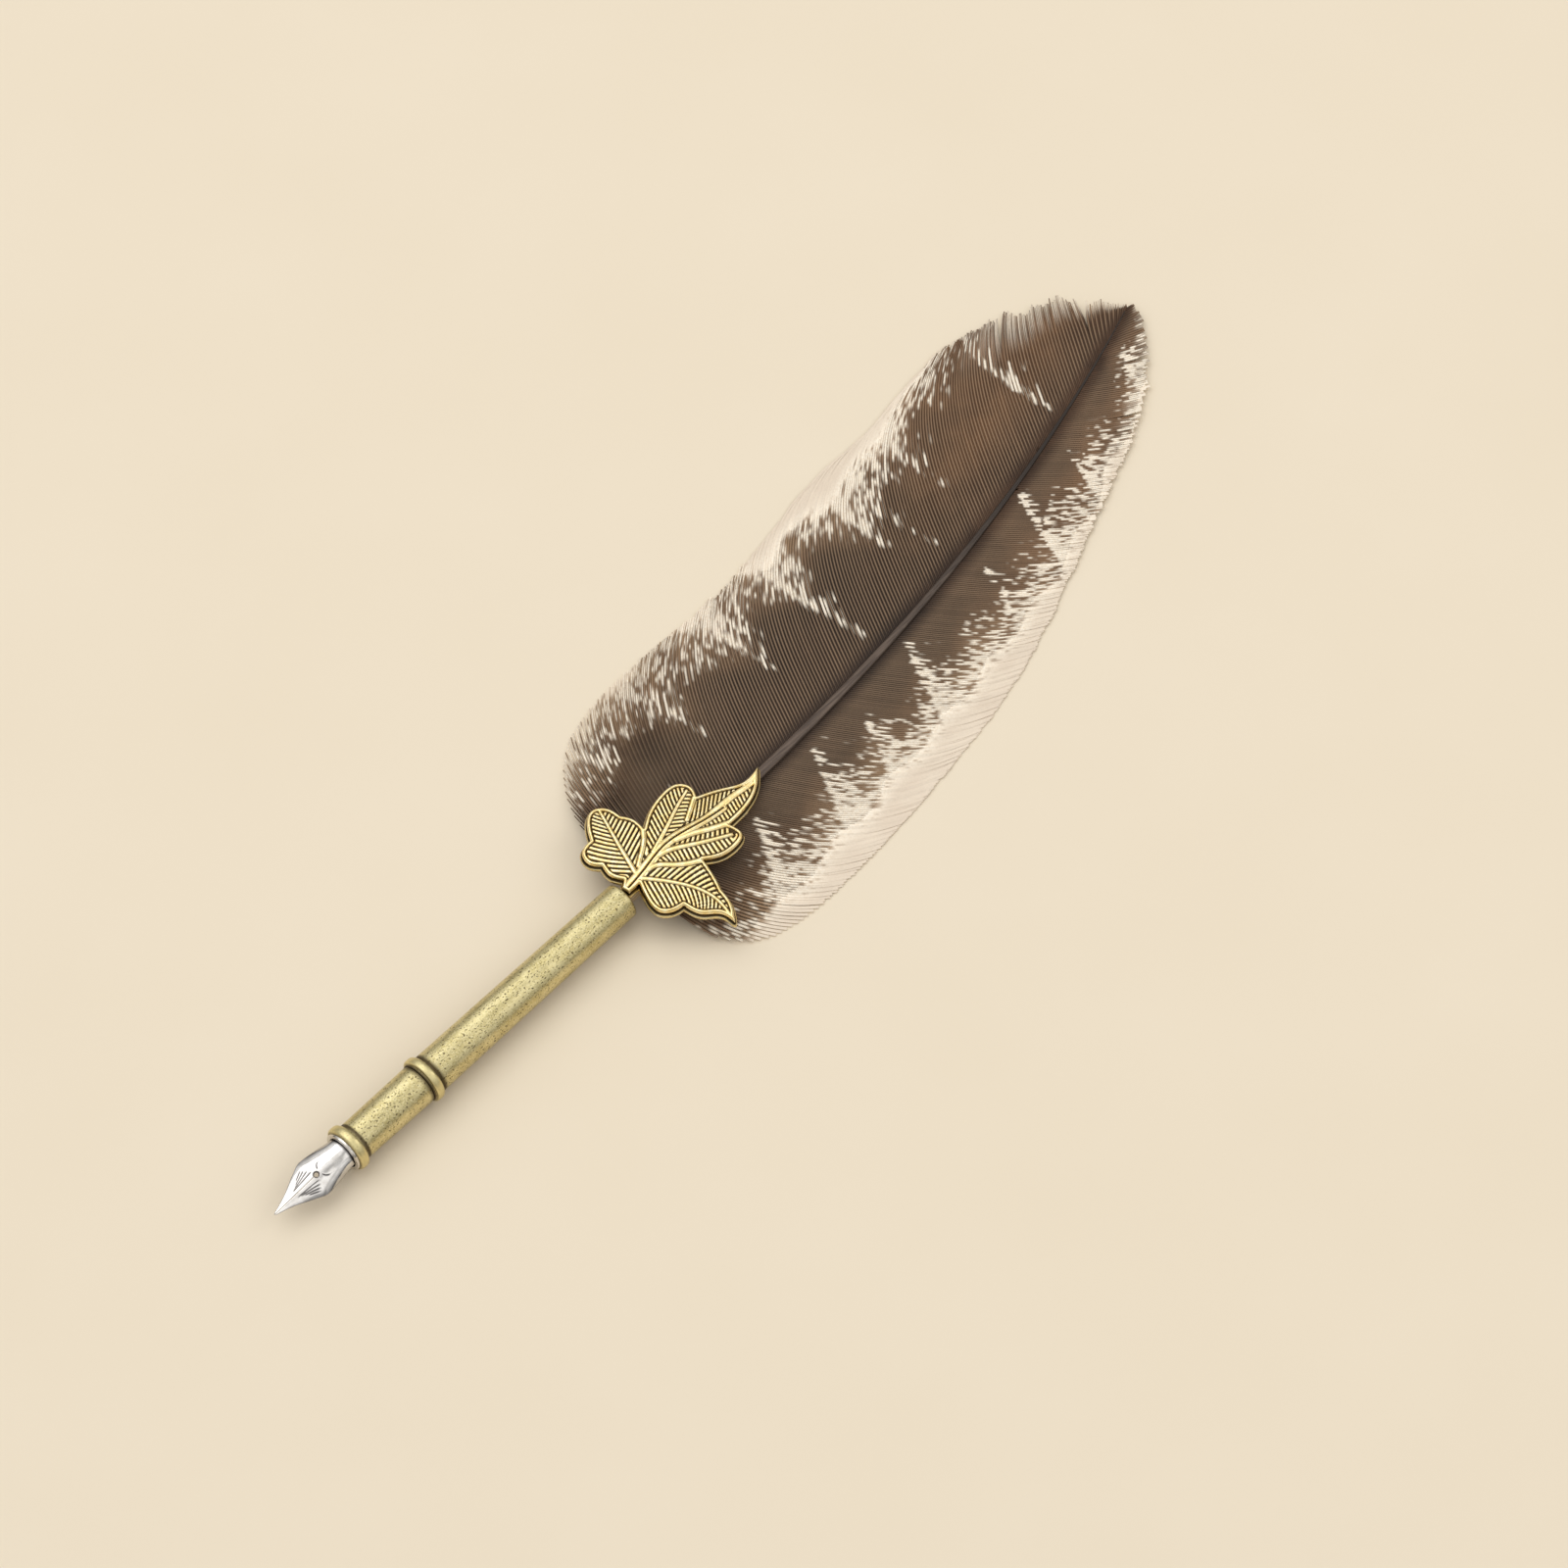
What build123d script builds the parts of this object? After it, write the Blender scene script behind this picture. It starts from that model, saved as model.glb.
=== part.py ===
from build123d import *

import math
import os

os.makedirs("parts", exist_ok=True)

# A feather dip pen, lying as it is stored. Millimetres.
# While it is designed, x runs along the barrel from the nib's point towards the feather's tip, y is
# measured from the barrel's axis towards the broad vane, and z is the height above the table.
# PLACE then carries every piece to the frame whose origin is the middle of the box's underside.
PLACE = Location((-126.1, -8.68, 0))

# Turned brass work: stations along the pen and radii about the barrel's axis.
COLLAR_R = 4.6
AXIS_Z = COLLAR_R
COLLAR_ROUND = 0.55
GRIP_FRONT = 17.2
GRIP_REAR = 36.0
GRIP_R_FRONT = 3.75
GRIP_R_REAR = 3.9
FRONT_COLLAR_WIDTH = 2.1
EDGE = 0.2
TINY = 0.001
THREAD_LENGTH = 7.8
THREAD_R = 2.7
THREAD_CLEARANCE = 0.06
TENON_HOLE_R = 1.4
RING_WIDTH = 2.3
RING_STEP_WIDTH = 0.4
RING_STEP_R = 4.0
JOINT_GAP = 0.03
BARREL_FRONT = GRIP_REAR + RING_WIDTH
BARREL_REAR = 88.3
BARREL_R_FRONT = 3.9
BARREL_R_REAR = 3.55
BARREL_BORE_R = THREAD_R + THREAD_CLEARANCE
NECK_R = 3.7
NECK_WIDTH = 0.35

# Nib holder: a plated ferrule in the grip and a split clip in its middle. The nib slides between.
FERRULE_R = 3.4
FERRULE_BORE_R = 3.2
FERRULE_LENGTH = 12.6
FERRULE_FLANGE_R = 3.95
FERRULE_FLANGE_WIDTH = 0.5
SLIDING_GAP = 0.05
NIB_SHEET = 0.28
NIB_TAIL_R = FERRULE_BORE_R - SLIDING_GAP
NIB_TAIL_END = 26.0
CLIP_R = NIB_TAIL_R - NIB_SHEET - SLIDING_GAP
CLIP_WALL = 0.5
CLIP_FRONT = 17.6
CLIP_BASE_WIDTH = 2.2
CLIP_SLOT = 0.5
CLIP_SLOT_END = 25.5

# Nib blade: station, half width, height of its crown above the axis, and how far its sides drop.
NIB_SECTIONS = [
    (0.0, 0.18, -0.45, 0.03),
    (3.5, 1.35, 0.35, 0.30),
    (7.4, 3.50, 1.35, 1.30),
    (9.5, 4.00, 1.90, 2.10),
    (12.4, 3.50, 2.60, 2.60),
    (16.4, NIB_TAIL_R, NIB_TAIL_R, NIB_TAIL_R),
    (NIB_TAIL_END, NIB_TAIL_R, NIB_TAIL_R, NIB_TAIL_R),
]
NIB_HOLE_X = 10.4
NIB_HOLE_R = 0.45
NIB_SLIT = 0.1
NIB_SLIT_LEAD = 2.0

# Feather: the shaft leaves the barrel straight, then bends sideways and comes down to the table.
QUILL_END = 71.0
PLUG_START = 69.0
PLUG_BEAD = 0.5
PLUG_BEAD_R = 1.8
SHAFT_STRAIGHT_END = 92.0
FEATHER_TIP = 252.2
TIP_OFFSET = 23.0
BEND_POWER = 2.4
TIP_Z = 1.1
TANGENT_STEP = 0.5
SHAFT_RADII = [
    (QUILL_END, 1.2),
    (76.0, 1.6),
    (SHAFT_STRAIGHT_END, 1.5),
    (110.0, 1.2),
    (130.0, 1.05),
    (167.0, 0.75),
    (196.0, 0.55),
    (218.0, 0.38),
    (234.0, 0.25),
    (250.6, 0.12),
]
VANE_THICKNESS = 0.4
VANE_FLOOR_GAP = 0.02
BROAD_SPREAD = 35.0
NARROW_SPREAD = 24.0
VANE_GRID = 4.0
VANE_ROOM = 20.0
VANE_START = 91.5
INNER_EDGE_STATIONS = (VANE_START, 130.0, 170.0, 210.0, 235.0, FEATHER_TIP)
INNER_EDGE_SPANS = 8
BROAD_OUTLINE = [
    (93.2, 10.0),
    (98.0, 23.5),
    (106.0, 31.7),
    (117.0, 35.2),
    (136.0, 35.6),
    (157.0, 35.8),
    (174.0, 38.6),
    (196.0, 40.8),
    (216.0, 42.5),
    (232.0, 39.8),
    (243.0, 34.0),
    (249.5, 27.0),
]
NARROW_OUTLINE = [
    (92.6, -9.0),
    (96.5, -18.0),
    (103.0, -23.4),
    (114.0, -25.1),
    (130.0, -24.8),
    (150.0, -22.6),
    (170.0, -19.6),
    (190.0, -13.6),
    (210.0, -6.0),
    (227.0, 1.2),
    (240.0, 9.4),
    (248.5, 16.6),
]

# Leaf ornament: a cast plate that arches over the shaft. Each list runs from one notch or point to
# the next, in order round the leaf, and starts where the one before it ends.
LEAF_THICKNESS = 1.4
LEAF_TOP_Z = 8.0
LEAF_CENTRE_X = 100.0
LEAF_ARCH_ACROSS = 0.008
LEAF_ARCH_ALONG = 0.002
LEAF_ROOM = 3.0
LEAF_GRID = 3.0
LEAF_EDGES = [
    [(88.9, 0.4), (90.2, 1.3)],
    [(90.2, 1.3), (88.6, 3.0), (89.2, 5.3)],
    [(89.2, 5.3), (87.7, 8.0), (89.0, 11.0), (91.4, 11.7)],
    [(91.4, 11.7), (93.8, 13.9), (97.2, 15.5), (98.8, 13.8)],
    [(98.8, 13.8), (99.3, 10.9), (100.4, 9.2), (100.3, 5.9)],
    [(100.3, 5.9), (103.0, 7.9), (108.0, 9.0), (112.0, 7.6), (111.6, 3.8)],
    [(111.6, 3.8), (115.0, 2.5), (119.6, 0.2), (124.0, -0.3)],
    [(124.0, -0.3), (122.0, -2.4), (117.5, -4.4), (112.0, -4.3)],
    [(112.0, -4.3), (112.4, -7.3), (108.6, -9.3), (102.7, -6.9)],
    [(102.7, -6.9), (101.8, -11.0), (99.6, -15.4), (97.3, -19.4)],
    [(97.3, -19.4), (95.4, -14.9), (92.4, -10.6)],
    [(92.4, -10.6), (89.6, -9.7), (88.5, -6.0), (90.6, -2.0)],
    [(90.6, -2.0), (89.3, -2.0)],
    [(89.3, -2.0), (88.9, 0.4)],
]
PAD_CENTRE = (98.0, 0.0)
PAD_HALF_LENGTH = 6.0
PAD_HALF_WIDTH = 2.4
PAD_UNDERSIDE_Z = 5.2

# How closely a curved sheet's surface follows its grid of heights.
SHEET_TOLERANCE = 0.005
SHEET_MAX_DEGREE = 5

AXIS = Axis((0, 0, AXIS_Z), (1, 0, 0))


def turned(profile):
    """A solid of revolution about the barrel's axis, from corners given as (station, radius).

    Corners on the crest of a collar are rounded, which leaves a short straight land between them.
    """
    corners = [(x, AXIS_Z + radius) for x, radius in profile]
    face = make_face(Polyline(*corners, close=True))
    crest = AXIS_Z + COLLAR_R
    crest_corners = face.vertices().filter_by_position(Axis.Y, crest - TINY, crest + TINY)
    if crest_corners:
        face = fillet(crest_corners, COLLAR_ROUND)
    return revolve(Plane.XZ * face, AXIS)


def grip_section():
    """The piece the fingers hold: front collar, thin wall over the ferrule, and a threaded tenon."""
    collar_rear = GRIP_FRONT + FRONT_COLLAR_WIDTH
    tenon_end = GRIP_REAR + THREAD_LENGTH
    ferrule_seat = GRIP_FRONT + FERRULE_LENGTH
    return turned(
        [
            (GRIP_FRONT, FERRULE_R),
            (GRIP_FRONT, COLLAR_R),
            (collar_rear, COLLAR_R),
            (collar_rear, GRIP_R_FRONT),
            (GRIP_REAR - EDGE, GRIP_R_REAR),
            (GRIP_REAR, GRIP_R_REAR - EDGE),
            (GRIP_REAR, THREAD_R),
            (tenon_end - EDGE, THREAD_R),
            (tenon_end, THREAD_R - EDGE),
            (tenon_end, TENON_HOLE_R),
            (ferrule_seat, TENON_HOLE_R),
            (ferrule_seat, FERRULE_R),
        ]
    )


def nib_ferrule():
    """Plated tube lining the grip, with a narrow flange that shows in front of the collar."""
    flange_front = GRIP_FRONT - FERRULE_FLANGE_WIDTH
    tube_rear = GRIP_FRONT + FERRULE_LENGTH
    return turned(
        [
            (flange_front, FERRULE_BORE_R),
            (flange_front, FERRULE_FLANGE_R - EDGE),
            (flange_front + EDGE, FERRULE_FLANGE_R),
            (GRIP_FRONT, FERRULE_FLANGE_R),
            (GRIP_FRONT, FERRULE_R),
            (tube_rear, FERRULE_R),
            (tube_rear, FERRULE_BORE_R),
        ]
    )


def nib_clip():
    """Split spring clip: four fingers on a base that is pressed into the ferrule's rear."""
    rear = GRIP_FRONT + FERRULE_LENGTH
    base_front = rear - CLIP_BASE_WIDTH
    clip = turned(
        [
            (CLIP_FRONT, CLIP_R - CLIP_WALL),
            (CLIP_FRONT, CLIP_R - EDGE),
            (CLIP_FRONT + EDGE, CLIP_R),
            (base_front, CLIP_R),
            (base_front, FERRULE_BORE_R),
            (rear, FERRULE_BORE_R),
            (rear, CLIP_R - CLIP_WALL),
        ]
    )
    slot_length = CLIP_SLOT_END - CLIP_FRONT + 2 * EDGE
    slot_middle = (CLIP_SLOT_END + CLIP_FRONT) / 2 - EDGE
    for quarter_turn in (45, -45):
        cutter = Box(slot_length, CLIP_SLOT, 2 * FERRULE_R)
        clip -= Pos(slot_middle, 0, AXIS_Z) * Rot(quarter_turn, 0, 0) * cutter
    return clip


def nib_section(station, half_width, crown, drop):
    """One crosswise section of the nib's sheet: a circular arc with the sheet's thickness."""
    radius = (half_width**2 + drop**2) / (2 * drop)
    centre = (0, crown - radius)
    half_angle = math.degrees(math.acos((radius - drop) / radius))
    plane = Plane(origin=(station, 0, AXIS_Z), x_dir=(0, 1, 0), z_dir=(1, 0, 0))
    outer = CenterArc(centre, radius, 90 - half_angle, 2 * half_angle)
    inner = CenterArc(centre, radius - NIB_SHEET, 90 - half_angle, 2 * half_angle)
    sides = [Line(outer @ 0, inner @ 0), Line(outer @ 1, inner @ 1)]
    return plane * make_face([outer, inner, *sides])


def nib():
    """Pressed steel nib: a pointed blade with shoulders, a round vent, a slit and a half round tail."""
    blade = loft([nib_section(*section) for section in NIB_SECTIONS], ruled=True)
    above = AXIS_Z + FERRULE_R
    vent = Pos(NIB_HOLE_X, 0, above) * Cylinder(NIB_HOLE_R, 2 * FERRULE_R)
    cutter = Box(NIB_HOLE_X + NIB_SLIT_LEAD, NIB_SLIT, 4 * FERRULE_R)
    slit = Pos((NIB_HOLE_X - NIB_SLIT_LEAD) / 2, 0, AXIS_Z) * cutter
    return blade - vent - slit


def joint_ring():
    """Loose trim ring on the tenon, clamped between the grip and the barrel."""
    front = GRIP_REAR + JOINT_GAP
    rear = BARREL_FRONT - JOINT_GAP
    step_rear = front + RING_STEP_WIDTH
    return turned(
        [
            (front, BARREL_BORE_R),
            (front, RING_STEP_R),
            (step_rear, RING_STEP_R),
            (step_rear, COLLAR_R),
            (rear, COLLAR_R),
            (rear, BARREL_BORE_R),
        ]
    )


def barrel_tube():
    """Tapered brass tube, tapped at the front for the tenon and open at the rear for the quill."""
    tube = turned(
        [
            (BARREL_FRONT, BARREL_BORE_R),
            (BARREL_FRONT, NECK_R),
            (BARREL_FRONT + NECK_WIDTH, NECK_R),
            (BARREL_FRONT + NECK_WIDTH + EDGE, BARREL_R_FRONT),
            (BARREL_REAR, BARREL_R_REAR),
            (BARREL_REAR, BARREL_BORE_R),
        ]
    )
    rear_circles = tube.edges().filter_by(GeomType.CIRCLE).group_by(Axis.X)[-1]
    return fillet(rear_circles.sort_by(SortBy.RADIUS)[-1], 2 * EDGE)


def shaft_point(station):
    """A point on the feather shaft's centreline."""
    run = max(0.0, (station - SHAFT_STRAIGHT_END) / (FEATHER_TIP - SHAFT_STRAIGHT_END))
    height = AXIS_Z + (TIP_Z - AXIS_Z) * run
    return Vector(station, TIP_OFFSET * run**BEND_POWER, height)


def feather_shaft():
    """Round quill in the barrel that thins into the shaft between the two vanes."""
    sections = []
    for station, radius in SHAFT_RADII:
        ahead = shaft_point(station + TANGENT_STEP) - shaft_point(station - TANGENT_STEP)
        plane = Plane(origin=shaft_point(station), x_dir=(0, 0, 1), z_dir=ahead)
        sections.append(plane * Circle(radius))
    return loft(sections)


def quill_plug(shaft):
    """Set adhesive that fills the barrel round the quill, with a small bead outside."""
    bead_rear = BARREL_REAR + PLUG_BEAD
    plug = turned(
        [
            (PLUG_START, 0),
            (PLUG_START, BARREL_BORE_R),
            (BARREL_REAR, BARREL_BORE_R),
            (bead_rear, PLUG_BEAD_R),
            (bead_rear, 0),
        ]
    )
    return plug - shaft


def vane_height(x, y):
    """Height of the vanes' underside: highest at the shaft, flat on the table past the spread."""
    aside = y - shaft_point(x).Y
    spread = BROAD_SPREAD if aside > 0 else NARROW_SPREAD
    share = min(1.0, abs(aside) / spread)
    root = shaft_point(x).Z - VANE_THICKNESS / 2
    return VANE_FLOOR_GAP + (root - VANE_FLOOR_GAP) * (1 - share**2) ** 2


def grid_face(low, high, step, height):
    """A smooth face over a rectangle, through a grid of points whose height is a function."""
    columns = round((high[0] - low[0]) / step)
    rows = round((high[1] - low[1]) / step)
    points = []
    for i in range(columns + 1):
        x = low[0] + (high[0] - low[0]) * i / columns
        ys = [low[1] + (high[1] - low[1]) * j / rows for j in range(rows + 1)]
        points.append([Vector(x, y, height(x, y)) for y in ys])
    return Face.make_surface_from_array_of_points(
        points, tol=SHEET_TOLERANCE, max_deg=SHEET_MAX_DEGREE
    )


def vane(outline):
    """One vane: a thin cambered sheet inside its outline. Its inner edge is the shaft's centreline."""
    inner_edge = Spline(*[shaft_point(x) for x in INNER_EDGE_STATIONS])
    on_edge = [inner_edge @ (i / INNER_EDGE_SPANS) for i in range(INNER_EDGE_SPANS + 1)]
    ground_edge = Spline(*[(point.X, point.Y) for point in on_edge])
    margin = Spline(ground_edge @ 0, *outline, ground_edge @ 1)
    prism = extrude(make_face([ground_edge, margin]), AXIS_Z + VANE_THICKNESS)
    low = (VANE_START - VANE_ROOM / 2, -VANE_ROOM - NARROW_SPREAD)
    high = (FEATHER_TIP + VANE_ROOM / 2, VANE_ROOM + BROAD_SPREAD)
    sheet = extrude(grid_face(low, high, VANE_GRID, vane_height), VANE_THICKNESS, dir=(0, 0, 1))
    return sheet & prism


def leaf_height(x, y):
    """Height of the leaf's underside, which arches down to both sides and towards its long point."""
    top = LEAF_TOP_Z - LEAF_ARCH_ACROSS * y**2 - LEAF_ARCH_ALONG * (x - LEAF_CENTRE_X) ** 2
    return top - LEAF_THICKNESS


def leaf_charm():
    """Five lobed leaf ornament, a plate of even thickness."""
    edges = [Line(*part) if len(part) == 2 else Spline(*part) for part in LEAF_EDGES]
    prism = extrude(make_face(edges), 2 * LEAF_TOP_Z)
    xs = [x for part in LEAF_EDGES for x, _ in part]
    ys = [y for part in LEAF_EDGES for _, y in part]
    low = (min(xs) - LEAF_ROOM, min(ys) - LEAF_ROOM)
    high = (max(xs) + LEAF_ROOM, max(ys) + LEAF_ROOM)
    plate = extrude(grid_face(low, high, LEAF_GRID, leaf_height), LEAF_THICKNESS, dir=(0, 0, 1))
    return plate & prism


def leaf_pad(leaf, shaft, vanes):
    """Adhesive between the leaf's underside and the shaft, squeezed into the space between them."""
    height = LEAF_TOP_Z - LEAF_THICKNESS / 2 - PAD_UNDERSIDE_Z
    blob = extrude(Ellipse(PAD_HALF_LENGTH, PAD_HALF_WIDTH), height)
    pad = Pos(*PAD_CENTRE, PAD_UNDERSIDE_Z) * blob
    for piece in (leaf, shaft, *vanes):
        pad -= piece
    return pad


def build():
    """Every piece, by node name."""
    shaft = feather_shaft()
    broad = vane(BROAD_OUTLINE) - shaft
    narrow = vane(NARROW_OUTLINE) - shaft
    leaf = leaf_charm()
    return {
        "nib": nib(),
        "nib_ferrule": nib_ferrule(),
        "nib_clip": nib_clip(),
        "grip_section": grip_section(),
        "joint_ring": joint_ring(),
        "barrel_tube": barrel_tube(),
        "quill_plug": quill_plug(shaft),
        "feather_shaft": shaft,
        "broad_vane": broad,
        "narrow_vane": narrow,
        "leaf_charm": leaf,
        "leaf_pad": leaf_pad(leaf, shaft, (broad, narrow)),
    }


pieces = build()
for name, piece in pieces.items():
    solid = PLACE * piece
    solid.label = name
    export_step(solid, f"parts/{name}.step")
    box = solid.bounding_box()
    print(f"{name}: {len(solid.solids())} solid, {solid.volume:.1f} mm3, {box.min} to {box.max}")
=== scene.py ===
"""Looks of a feather dip pen: steel nib, turned brass holder, cast leaf and barbed feather."""

import math

import bmesh
import bpy
import numpy as np
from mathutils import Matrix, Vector
from mathutils.bvhtree import BVHTree
from mathutils.geometry import delaunay_2d_cdt


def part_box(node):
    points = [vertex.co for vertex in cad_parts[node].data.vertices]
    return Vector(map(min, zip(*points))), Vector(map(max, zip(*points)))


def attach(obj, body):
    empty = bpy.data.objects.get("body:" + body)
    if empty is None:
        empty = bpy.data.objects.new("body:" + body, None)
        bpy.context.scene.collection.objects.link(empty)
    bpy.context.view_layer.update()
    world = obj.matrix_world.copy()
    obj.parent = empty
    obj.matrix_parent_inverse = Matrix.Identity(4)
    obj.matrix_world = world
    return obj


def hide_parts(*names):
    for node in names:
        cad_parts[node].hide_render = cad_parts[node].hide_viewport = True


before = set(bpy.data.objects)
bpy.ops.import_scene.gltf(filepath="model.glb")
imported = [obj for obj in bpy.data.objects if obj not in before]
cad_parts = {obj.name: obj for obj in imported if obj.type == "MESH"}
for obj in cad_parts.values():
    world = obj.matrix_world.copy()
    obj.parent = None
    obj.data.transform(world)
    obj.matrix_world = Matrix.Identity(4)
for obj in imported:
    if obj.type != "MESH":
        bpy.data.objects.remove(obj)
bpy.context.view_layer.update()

# Shapes are worked out in the pen's own millimetres: x is the station along the barrel from the
# nib's point, y is measured from the barrel's axis towards the broad vane, and z is the height.
MM = 0.001
tube_low, tube_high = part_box("barrel_tube")
ORIGIN = np.array([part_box("nib")[0].x, (tube_low.y + tube_high.y) / 2, 0.0])
AXIS_Z = (tube_low.z + tube_high.z) / 2 / MM

# Turned brass work.
COLLAR_R = 4.6
COLLAR_ROUND = 0.85
GRIP_FRONT = 17.2
GRIP_REAR = 36.0
GRIP_R_FRONT = 3.75
GRIP_R_REAR = 3.9
FRONT_COLLAR_WIDTH = 2.1
TENON_END = 43.8
TENON_R = 2.7
TENON_HOLE_R = 1.4
FERRULE_R = 3.4
FERRULE_BORE_R = 3.2
FERRULE_SEAT = 29.8
FLANGE_FRONT = 16.7
FLANGE_R = 3.95
RING_FRONT = 36.03
RING_REAR = 38.27
RING_STEP_WIDTH = 0.4
RING_STEP_R = 4.0
BARREL_FRONT = 38.3
BARREL_REAR = 88.3
BARREL_R_FRONT = 3.9
BARREL_R_REAR = 3.55
BARREL_BORE_R = 2.76
NECK_R = 3.7
NECK_WIDTH = 0.35
LATHE_SEGMENTS = 144
LATHE_STEP = 0.5
# Painted shade: how much darker the undersides of the turned pieces are.
UNDERSIDE_SHADE = 0.5

# Nib: station, half width, height of its crown above the axis, and how far its sides drop.
NIB_SHEET = 0.28
NIB_TAIL_R = 3.15
NIB_TAIL_END = 26.0
NIB_SECTIONS = [
    (0.0, 0.18, -0.45, 0.03),
    (3.5, 1.35, 0.35, 0.30),
    (7.0, 2.95, 1.20, 0.80),
    (9.6, 3.85, 1.75, 1.35),
    (12.8, 3.55, 2.20, 1.70),
    (16.4, 3.05, 2.40, 1.75),
    (19.5, NIB_TAIL_R, NIB_TAIL_R, NIB_TAIL_R),
    (NIB_TAIL_END, NIB_TAIL_R, NIB_TAIL_R, NIB_TAIL_R),
]
# The nib sits a little turned in its ferrule.
NIB_ROLL = math.radians(15)
VENT_X = 9.9
VENT_R = 0.45
SLIT = 0.1
NIB_PITCH = 0.1
TAIL_PITCH = 0.25
# Painted shade along the nib's edges and over its underside.
NIB_EDGE_SHADE = 0.45
NIB_UNDERSIDE_SHADE = 0.3
# Four lines fan out from the point to each shoulder, and a hook lies behind the vent.
ENGRAVING_START = 3.4
ENGRAVING_LENGTH = 6.6
ENGRAVED_LINES = 4
ENGRAVED_HALF_WIDTH = 0.13
ENGRAVED_DEPTH = 0.05
HOOK_CENTRE = (12.2, 0.2)
HOOK_R = 1.5
VENT_DISH = 0.06

# Feather shaft.
SHAFT_STRAIGHT_END = 92.0
FEATHER_TIP = 252.2
TIP_OFFSET = 23.0
BEND_POWER = 2.4
TIP_Z = 1.1
SHAFT_RINGS = 260
SHAFT_SEGMENTS = 28
# A line of painted shade along the shaft's side away from the key light; the second number is how
# dark it and the shaft's tip get.
SHADE_LINE_TURN = math.radians(158)
SHAFT_DARKENING = 0.85
SHAFT_RADII = [
    (71.0, 1.2), (76.0, 1.6), (92.0, 1.5), (110.0, 1.2), (130.0, 1.05), (167.0, 0.75),
    (196.0, 0.55), (218.0, 0.38), (234.0, 0.25), (250.6, 0.12),
]


def shaft_line(station):
    """Points on the shaft's centreline."""
    station = np.asarray(station, float)
    run = np.clip((station - SHAFT_STRAIGHT_END) / (FEATHER_TIP - SHAFT_STRAIGHT_END), 0, None)
    return np.stack([station, TIP_OFFSET * run**BEND_POWER, AXIS_Z + (TIP_Z - AXIS_Z) * run], -1)


def table(rows, x, column=1):
    """A value read from rows of (station, value, ...)."""
    rows = np.array(rows, float)
    return np.interp(x, rows[:, 0], rows[:, column])


def smooth(low, high, x):
    """0 below low, 1 above high and a smooth step between."""
    t = np.clip((x - low) / (high - low), 0, 1)
    return t * t * (3 - 2 * t)


# -------- meshes


def add_object(name, data):
    """A new object in the scene."""
    made = bpy.data.objects.new(name, data)
    bpy.context.scene.collection.objects.link(made)
    return made


def add_piece(name, points, faces, body, slot, replaced, material, values=None):
    """A smooth mesh piece in millimetres, which rides on a body and stands in for CAD nodes."""
    mesh = bpy.data.meshes.new(name)
    mesh.from_pydata((ORIGIN + np.asarray(points) * MM).tolist(), [], faces)
    work = bmesh.new()
    work.from_mesh(mesh)
    bmesh.ops.recalc_face_normals(work, faces=work.faces)
    work.to_mesh(mesh)
    work.free()
    mesh.shade_smooth()
    for key, value in (values or {}).items():
        attribute = mesh.attributes.new(key, "FLOAT", "POINT")
        attribute.data.foreach_set("value", np.asarray(value, np.float32))
    mesh.materials.append(material)
    piece = add_object(name, mesh)
    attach(piece, body)
    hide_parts(*replaced)
    return piece


def strip_faces(rings, count, closed):
    """Quads between rings of count points each; closed joins the last ring to the first."""
    faces = []
    for i in range(rings if closed else rings - 1):
        start, after = i * count, (i + 1) % rings * count
        for j in range(count):
            k = (j + 1) % count
            faces.append((start + j, start + k, after + k, after + j))
    return faces


def rounded(profile, curve_points=6):
    """A closed profile of (station, radius, rounding) with its corners rounded, as an array."""
    corners = np.array([row[:2] for row in profile], float)
    out = []
    for i, (_, _, rounding) in enumerate(profile):
        corner = corners[i]
        if rounding == 0:
            out.append(corner)
            continue
        before, after = corners[i - 1] - corner, corners[(i + 1) % len(corners)] - corner
        start = corner + before / np.linalg.norm(before) * rounding
        end = corner + after / np.linalg.norm(after) * rounding
        for t in np.linspace(0, 1, curve_points):
            out.append((1 - t) ** 2 * start + 2 * t * (1 - t) * corner + t * t * end)
    return np.array(out)


def refined(profile, step):
    """The closed profile with its long runs divided."""
    out = []
    for i, point in enumerate(profile):
        after = profile[(i + 1) % len(profile)]
        parts = max(1, int(np.linalg.norm(after - point) / step))
        out += [point + (after - point) * j / parts for j in range(parts)]
    return np.array(out)


def turned(name, profile, body, slot, replaced, material, grooves=()):
    """A turned piece. Its patina value is high beside the grooves, where the brass is darkened
    with age, and underneath, as painted shade; its polish value is high on the crests of its
    collars, and its groove value, as painted shade, in its bore."""
    line = refined(rounded(profile), LATHE_STEP)
    angle = np.linspace(0, 2 * math.pi, LATHE_SEGMENTS, endpoint=False)
    stations = np.repeat(line[:, 0], LATHE_SEGMENTS)
    radii = np.repeat(line[:, 1], LATHE_SEGMENTS)
    angles = np.tile(angle, len(line))
    points = np.stack([stations, radii * np.cos(angles), AXIS_Z + radii * np.sin(angles)], -1)
    patina_and_shade = np.zeros(len(points))
    for station, width, strength in grooves:
        patina_and_shade = np.maximum(patina_and_shade, strength * np.exp(-((stations - station) / width) ** 2))
    # Painted shade: the undersides are darker.
    patina_and_shade = np.maximum(patina_and_shade, UNDERSIDE_SHADE * smooth(0.1, -0.8, np.sin(angles)))
    values = {
        "patina_and_shade": patina_and_shade,
        "polish": smooth(GRIP_R_REAR + 0.15, COLLAR_R - 0.15, radii),
        # Painted shade in the bore.
        "groove": (radii < FERRULE_BORE_R + 0.02).astype(float),
    }
    faces = strip_faces(len(line), LATHE_SEGMENTS, True)
    add_piece(name, points, faces, body, slot, replaced, material, values)


def gaps(line):
    """Distances between neighbouring points of a line."""
    return np.linalg.norm(np.diff(line, axis=0), axis=1)


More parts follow.
